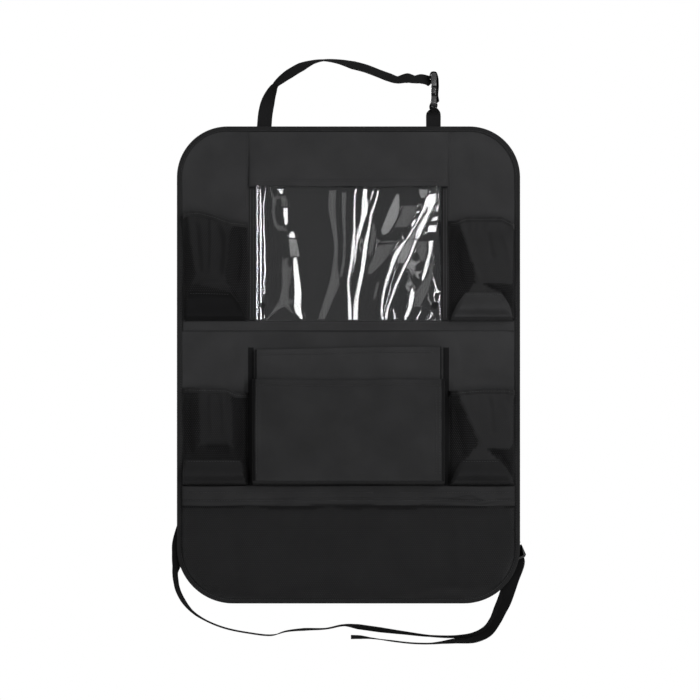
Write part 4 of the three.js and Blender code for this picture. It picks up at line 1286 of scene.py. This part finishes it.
# The top loop's stops: share of the way to the buckle, shares of its rise and bulge, and turn
TOP_LOOP = [
    (0.002, 0.005, 0, 0), (0.008, 0.18, 0, 4), (0.02, 0.33, 0, 14), (0.036, 0.46, 0, 36),
    (0.052, 0.55, 0.1, 50), (0.068, 0.61, 0.1, 62), (0.1, 0.685, 0.2, 52), (0.15, 0.78, 0.4, 44),
    (0.22, 0.885, 0.6, 47), (0.285, 0.955, 0.8, 67), (0.35, 0.985, 0.9, 77), (0.44, 0.965, 0.9, 66),
    (0.525, 0.912, 0.8, 50), (0.6, 0.86, 0.6, 50), (0.678, 0.785, 0.5, 51), (0.735, 0.73, 0.4, 49),
    (0.785, 0.688, 0.2, 55), (0.845, 0.711, 0.1, 42), (0.888, 0.69, 0, 53), (0.928, 0.698, 0, 43),
    (0.97, 0.672, 0, 44),
]
# The bottom strap's stops: shares of the panel's half width, of the drop and of the depth, and turn
BOTTOM_LOOP = [
    (-0.945, -2.16, 0, 180), (-0.97, -1.84, 0, 181), (-0.987, -1.54, 0.08, 184),
    (-0.99, -1.24, 0.25, 200), (-1.003, -0.98, 0.42, 240), (-1.012, -0.76, 0.5, 255),
    (-1.008, -0.56, 0.67, 257), (-0.998, -0.34, 0.83, 259), (-0.965, -0.04, 1, 262),
    (-0.912, 0.24, 1, 271), (-0.837, 0.46, 1, 275), (-0.726, 0.66, 1, 275), (-0.586, 0.79, 1, 275),
    (-0.446, 0.85, 1, 275), (-0.365, 0.75, 1, 281), (-0.26, 0.7, 1, 286), (-0.131, 0.68, 1, 281),
    (-0.026, 0.59, 1, 283), (0.056, 0.63, 1, 296), (0.184, 0.71, 1, 296), (0.324, 0.79, 1, 289),
    (0.475, 0.87, 1, 283), (0.621, 0.89, 1, 287), (0.732, 0.84, 1, 297), (0.808, 0.68, 1, 306),
    (0.854, 0.43, 1, 314), (0.886, 0.17, 1, 327), (0.909, -0.04, 1, 340), (0.93, -0.3, 1.08, 352),
    (0.953, -0.6, 1.25, 358),
]
BOTTOM_TAIL = [
    (0.953, -0.6, 1.53, 178), (0.93, -0.3, 1.33, 172), (0.909, -0.04, 1.2, 160),
    (0.886, 0.18, 1.13, 147), (0.856, 0.47, 1, 134), (0.813, 0.75, 1, 126), (0.735, 0.93, 1, 115),
    (0.624, 0.99, 1, 100), (0.54, 1.035, 1, 89), (0.48, 1.06, 1, 85), (0.37, 1.05, 1, 85),
    (0.25, 0.99, 1, 85), (0.13, 0.92, 1, 79), (0.07, 0.894, 1, 70), (0.014, 0.89, 1, 68),
]


def stop_at(buckle, through, along, turn=0.0):
    """A stop beside a buckle, with the strap's width along the buckle's or turned from it."""
    end, run, across_it = buckle
    turn = math.radians(turn)
    width = np.cross(across_it, run) * math.cos(turn) + across_it * math.sin(turn)
    return (end + across_it * through + run * along, width)


def stops_at(buckle, rows):
    """Stops beside a buckle, from rows of (through, along) and perhaps a turn."""
    return [stop_at(buckle, *row) for row in rows]


def ladder_stops(buckle):
    """Round the ladder's middle bar, in at one slot and out at the other."""
    bar = CENTRE_BAR_DEPTH / 2 + LAY
    middle = (SLOT_A + SLOT_B) / 2
    over = [(bar * 0.9, middle + SLOT * 0.6), (bar, middle), (bar * 0.9, middle - SLOT * 0.6)]
    return stops_at(buckle, [(0, SLOT_A), *over, (0, SLOT_B)])


def top_route():
    """From the panel over the headrest's posts, round the ladder and back over the buckle."""
    stops = [(np.array([-111.5, STRAP_PLANE, PANEL_TOP - STRAP_SEWN]), 0.0)]
    for share, rise, bulge, turn in TOP_LOOP:
        place = [-110 + share * 220.5, STRAP_PLANE + bulge * LOOP_BULGE, PANEL_TOP + rise * LOOP_RISE]
        stops.append((np.array(place), turn))
    stops.append((stop_at(TOP_BUCKLE, -FACE - 0.6, SLOT_A - 0.8)[0], 58))
    back = [
        (-FACE * 0.85, SLOT_B - 0.6),
        (-FACE, OUTER_BAR * 0.5),
        (-FACE * 0.62, -LAY * 0.8),
        (0, -LAY * 1.25),
        (FACE * 0.7, -LAY * 0.5),
        (FACE * 1.1, OUTER_BAR),
        (FACE + 0.8, SLOT_A - SLOT, -4),
        (FACE + 0.9, LADDER_LENGTH + 1, -6),
        (FACE + 0.2, GRIP_END, -6),
        (FACE + 1.2, TAB_SLOT - SLOT / 2, -8),
    ]
    return stops + ladder_stops(TOP_BUCKLE) + stops_at(TOP_BUCKLE, back)


def below_panel(rows, depth):
    stops = []
    for share, drop, back, turn in rows:
        place = [share * PANEL_WIDTH / 2, STRAP_PLANE + back * depth, PANEL_BOTTOM - drop * LOOP_DROP]
        stops.append((np.array(place), turn))
    return stops


def bottom_route():
    """From the panel's left, below it to the buckle, round the ladder, and back as a loose tail."""
    load = FACE + STRAP_THICKNESS + GAP
    before = [(-load, -2), (-load * 0.95, OUTER_BAR), (-load * 0.55, SLOT_A - SLOT * 0.4)]
    after = [(-FACE * 0.84, SLOT_B - SLOT * 0.1), (-FACE, OUTER_BAR * 0.5), (-FACE, -2)]
    stops = below_panel(BOTTOM_LOOP, LOOP_DEPTH) + stops_at(BOTTOM_BUCKLE, before)
    stops += ladder_stops(BOTTOM_BUCKLE) + stops_at(BOTTOM_BUCKLE, after)
    return stops + below_panel(BOTTOM_TAIL, TAIL_DEPTH)


TAB_SHARES = (1, 0.7, 0.45, 0.3, 0.2, 0.1, 0.04)  # of the tab's free length, from the panel's edge
TAB_BEND = [(1, 0.85), (0.9, 0.25), (0.6, 0), (0, -0.05), (-0.6, 0), (-0.9, 0.25), (-1, 0.85)]


def tab_route(buckle, free, turn):
    """A doubled tab: from the panel to the buckle's bar, round it and back."""
    end, run, _ = buckle
    flat = np.cross(DEPTHWISE, run)
    sewn = STRAP_PLANE + TAB_SPREAD - end[1]

    def layer(side):
        stops = []
        for share in (1 + STRAP_SEWN / free, 1 + STRAP_SEWN / free / 2, *TAB_SHARES):
            far = free * share
            risen = min(max(1 - share, 0), 1)
            opened = float(smooth(1 - far / 5.0))
            angle = math.radians(turn * float(smooth((risen - 0.55) / 0.43)))
            width = flat * math.cos(angle) + DEPTHWISE * math.sin(angle)
            out = side * (TAB_SPREAD + (FACE - TAB_SPREAD) * opened)
            point = end + run * (BUCKLE_LENGTH + far) + DEPTHWISE * sewn * (1 - risen)
            stops.append((point + np.cross(run, width) * out, width))
        return stops

    first = layer(1)
    width = first[-1][1]
    normal = np.cross(run, width)
    bend = [(end + run * (TAB_SLOT + SLOT * down) + normal * FACE * out, width) for out, down in TAB_BEND]
    return first + bend + layer(-1)[::-1]


def curve_through(points, shares):
    """Points and runs on a centripetal curve through points, at shares of its stops."""
    points = np.array(points)
    full = np.concatenate([[2 * points[0] - points[1]], points, [2 * points[-1] - points[-2]]])
    gaps = np.maximum(np.linalg.norm(np.diff(full, axis=0), axis=1), 1e-6) ** 0.5
    place = shares * (len(points) - 1)
    i = np.clip(np.floor(place + 1e-9).astype(int), 0, len(points) - 2)
    t = (place - i)[:, None]
    p0, p1, p2, p3 = full[i], full[i + 1], full[i + 2], full[i + 3]
    d0, d1, d2 = gaps[i][:, None], gaps[i + 1][:, None], gaps[i + 2][:, None]
    t1 = ((p1 - p0) / d0 - (p2 - p0) / (d0 + d1) + (p2 - p1) / d1) * d1
    t2 = ((p2 - p1) / d1 - (p3 - p1) / (d1 + d2) + (p3 - p2) / d2) * d1
    c2 = -3 * p1 + 3 * p2 - 2 * t1 - t2
    c3 = 2 * p1 - 2 * p2 + t1 + t2
    return p1 + t1 * t + c2 * t**2 + c3 * t**3, t1 + 2 * c2 * t + 3 * c3 * t**2


def strap_section():
    """Round a strap's section as (across, through): ribbed faces that thin towards the edges."""
    half = [(0.35, 1), (0.7, 0.94), (0.9, 1), (0.985, 0.8), (1, 0.45)]
    face = [(-a, b) for a, b in half[::-1]] + [(0, 0.95)] + half
    front = np.array(face) * [STRAP_WIDTH / 2, STRAP_THICKNESS / 2]
    return np.concatenate([front, front[::-1] * [1, -1]])


def width_side(side, run):
    """The way a strap's width points: as given, or at an angle from flat to edge on."""
    if np.ndim(side):
        return side
    angle = math.radians(side)
    flat = np.cross(run, DEPTHWISE)
    flat /= np.linalg.norm(flat)
    return flat * math.cos(angle) + DEPTHWISE * math.sin(angle)


def webbing(name, route, node_name, material, per_stop=7):
    """A woven strap along a route of stops, each a point and the side that its width follows."""
    points, sides = zip(*route)
    last = len(points) - 1
    _, runs = curve_through(points, np.linspace(0, 1, last + 1))
    sides = np.array([width_side(side, run) for side, run in zip(sides, runs)])
    shares = np.linspace(0, 1, last * per_stop + 1)
    middle, run = curve_through(points, shares)
    run /= np.linalg.norm(run, axis=1, keepdims=True)
    place = shares * last
    i = np.clip(np.floor(place + 1e-9).astype(int), 0, last - 1)
    side = sides[i] + (sides[i + 1] - sides[i]) * (place - i)[:, None]
    side -= run * (side * run).sum(axis=1, keepdims=True)
    side /= np.linalg.norm(side, axis=1, keepdims=True)
    normal = np.cross(run, side)
    section = strap_section()
    grid = np.stack([middle + side * a + normal * b for a, b in section], axis=1)
    far = distances(middle)
    uv = np.stack(np.broadcast_arrays(section[None, :, 0], far[:, None]), axis=2)
    piece = make(name, grid, tube(*grid.shape[:2]), material, uv)
    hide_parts(node_name)


def box_stitch(cx, cz, wide, high, y, tilt=0.0):
    """A sewn box with a cross in it."""
    corners = [(-1, -1), (1, -1), (1, 1), (-1, 1), (-1, -1), (1, 1), (1, -1), (-1, 1)]
    across, up = (np.array(corners) * [wide / 2, high / 2]).T
    c, s = math.cos(tilt), math.sin(tilt)
    return np.stack([cx + c * across - s * up, y + 0 * up, cz + s * across + c * up], axis=1)


def add_straps():
    # The top strap and its tab take the lighter webbing: painted light
    webbing("webbing_top", top_route(), "top_strap", LIT_WEBBING)
    webbing("webbing_bottom", bottom_route(), "bottom_strap", WEBBING)
    top_free = TOP_BUCKLE[0][2] - BUCKLE_LENGTH - PANEL_TOP
    webbing("webbing_tab_top", tab_route(TOP_BUCKLE, top_free, 90), "top_tab", LIT_WEBBING)
    bottom_tab = tab_route(BOTTOM_BUCKLE, BOTTOM_FREE, 0)
    webbing("webbing_tab_bottom", bottom_tab, "bottom_tab", WEBBING)
    level = STRAP_PLANE + STRAP_THICKNESS / 2 + 0.1
    sewn = BOTTOM_BUCKLE[0] + BOTTOM_BUCKLE[1] * (BUCKLE_LENGTH + BOTTOM_FREE + STRAP_SEWN / 2)
    rows = [
        box_stitch(-111, PANEL_TOP - 14, 14, 18, level),
        box_stitch(110.5, PANEL_TOP - 14, 14, 18, level + TAB_SPREAD),
        box_stitch(-212.5, PANEL_BOTTOM + 98, 13, 16, level),
        box_stitch(sewn[0], sewn[2], 14, 18, level + TAB_SPREAD, TILT),
    ]
    stitches("box_stitches", rows, out=(0, 1, 0), pitch=3.0, long=2.4)


def buckle_piece(name, node_name):
    """The moulded half with its edges rounded."""
    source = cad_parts[node_name]
    mesh = bmesh.new()
    mesh.from_mesh(source.data)
    bmesh.ops.remove_doubles(mesh, verts=mesh.verts, dist=1e-6)
    bmesh.ops.dissolve_limit(
        mesh, angle_limit=math.radians(2), verts=mesh.verts, edges=mesh.edges, delimit={"NORMAL"}
    )
    data = bpy.data.meshes.new(name)
    mesh.to_mesh(data)
    mesh.free()
    data.polygons.foreach_set("use_smooth", np.ones(len(data.polygons), bool))
    data.materials.append(PLASTIC)
    piece = bpy.data.objects.new(name, data)
    bpy.context.scene.collection.objects.link(piece)
    bevel = piece.modifiers.new("rounding", "BEVEL")
    bevel.width = 0.45 * MM
    bevel.segments = 3
    bevel.angle_limit = math.radians(35)
    bevel.harden_normals = True
    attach(piece, "root")
    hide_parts(node_name)


RIB_ENDS = [(-1.0, 0.25), (-0.8, 0.5), (0.0, 0.5), (0.8, 0.5), (1.0, 0.25)]  # (place, radius)
RIB_SIDES = 8


def buckle_ribs(name, buckle):
    """Grip ridges on both arms of a buckle."""
    end, run, through = buckle
    points, faces = [], []
    for side in (-np.cross(through, run), np.cross(through, run)):
        for number in range(5):
            along = LADDER_LENGTH + 3.2 + 1.35 * number
            middle = end + run * along + side * (BUCKLE_WIDTH / 2 - 0.35)
            faces += tube(len(RIB_ENDS), RIB_SIDES, len(points))
            for share, size in RIB_ENDS:
                for turn in 2 * math.pi * np.arange(RIB_SIDES) / RIB_SIDES:
                    reach = side * math.cos(turn) * 0.8 + run * math.sin(turn) * 0.9
                    points.append(middle + through * share * 2.05 + reach * size)
    make(name, np.array(points), faces, PLASTIC, None)


def add_buckles():
    for place, buckle in (("top", TOP_BUCKLE), ("bottom", BOTTOM_BUCKLE)):
        for half in ("male", "female"):
            buckle_piece(f"{place}_clip_{half}", f"{place}_buckle_{half}")
        buckle_ribs(f"{place}_clip_ribs", buckle)


# Light and floor


def area_lamp(name, place, aim, wide, high, radiance):
    data = bpy.data.lights.new(name, "AREA")
    data.shape = "RECTANGLE"
    data.size, data.size_y = wide, high
    data.energy = radiance * math.pi * wide * high
    lamp = bpy.data.objects.new(name, data)
    lamp.location = place
    lamp.rotation_euler = (Vector(aim) - Vector(place)).to_track_quat("-Z", "Y").to_euler()
    bpy.context.scene.collection.objects.link(lamp)


STRIP_LEVEL = -0.25
STRIPS = [  # name, angle, width, radiance
    ("bright_left", -BRIGHT, 0.07, 50.0),
    ("bright_right", BRIGHT, 0.1, 50.0),
    ("dim_left", -DIM, 0.08, 3.0),
    ("dim_right", DIM, 0.08, 9.0),
]


def add_lights():
    for name, angle, wide, radiance in STRIPS:
        x, y = strip_place(angle)
        place, aim = (x * MM, y * MM, STRIP_LEVEL), (0, 0, STRIP_LEVEL)
        area_lamp(f"strip_{name}", place, aim, wide, high=1.3, radiance=radiance)
    aim = (0, 0, -0.3)
    area_lamp("key", (1.3, -1.4, 0.72), aim, wide=0.9, high=0.9, radiance=9.8)
    area_lamp("back", (0.5, 2.5, 0.7), aim, wide=1.6, high=1.4, radiance=5.5)


def mixed(material, share, first, second):
    """Two shaders mixed by a share."""
    mix = node(material, "ShaderNodeMixShader")
    for place, source in zip(mix.inputs, (share, first, second)):
        join(material, source, place)
    return mix.outputs[0]


SOFT_LIGHT, WHITE_LIGHT = 0.16, 1.0


def add_world():
    """White to the camera and in reflections and film, and a soft light for all else."""
    world = bpy.data.worlds.new("world")
    bpy.context.scene.world = world
    world.use_nodes = True
    world.node_tree.nodes.clear()
    path = node(world, "ShaderNodeLightPath")
    seen = calc(world, "MAXIMUM", path.outputs["Is Camera Ray"], path.outputs["Is Glossy Ray"])
    seen = calc(world, "MAXIMUM", seen, path.outputs["Is Transmission Ray"])
    lights = []
    for strength in (SOFT_LIGHT, WHITE_LIGHT):
        light = node(world, "ShaderNodeBackground")
        light.inputs["Color"].default_value = (1, 1, 1, 1)
        light.inputs["Strength"].default_value = strength
        lights.append(light.outputs[0])
    output = node(world, "ShaderNodeOutputWorld")
    join(world, mixed(world, seen, *lights), output.inputs[0])


FLOOR_RADIUS, FLOOR_LEVEL, FLOOR_SIDES = 1.4, -1.2, 96


def add_floor():
    """A pale round floor well below the hanging object, fading to white at its rim."""
    material, bsdf = principled("floor", (0.82, 0.82, 0.82), 0.9, 0.2)
    length = node(material, "ShaderNodeVectorMath", operation="LENGTH")
    join(material, own_coordinates(material), length.inputs[0])
    rim = node(material, "ShaderNodeMapRange")
    rim.inputs["From Min"].default_value = 0.5
    rim.inputs["From Max"].default_value = 1.35
    join(material, length.outputs["Value"], rim.inputs["Value"])
    path = node(material, "ShaderNodeLightPath")
    seen = calc(material, "MULTIPLY", rim.outputs[0], path.outputs["Is Camera Ray"])
    glow = node(material, "ShaderNodeEmission")
    output = material.node_tree.nodes["Material Output"]
    shown = mixed(material, seen, bsdf.outputs[0], glow.outputs[0])
    join(material, shown, output.inputs["Surface"])
    turns = np.linspace(0, 2 * math.pi, FLOOR_SIDES + 1)[:-1]
    points = [(FLOOR_RADIUS * math.cos(t), FLOOR_RADIUS * math.sin(t), 0.0) for t in turns]
    mesh = bpy.data.meshes.new("floor")
    mesh.from_pydata(points, [], [list(range(FLOOR_SIDES))])
    mesh.materials.append(material)
    floor = bpy.data.objects.new("floor", mesh)
    floor.location = (0, 0, FLOOR_LEVEL)
    bpy.context.scene.collection.objects.link(floor)


add_straps()
add_buckles()
add_panel()
add_binding()
add_flap()
window_film, film_size = add_film()
add_window_trim()
add_centre_pockets()
for pocket_name, pocket_setup in SIDES.items():
    add_side_pocket(pocket_name, pocket_setup)
add_bottom_pocket()
add_world()
add_lights()
add_floor()

bpy.context.scene.view_settings.view_transform = "Standard"
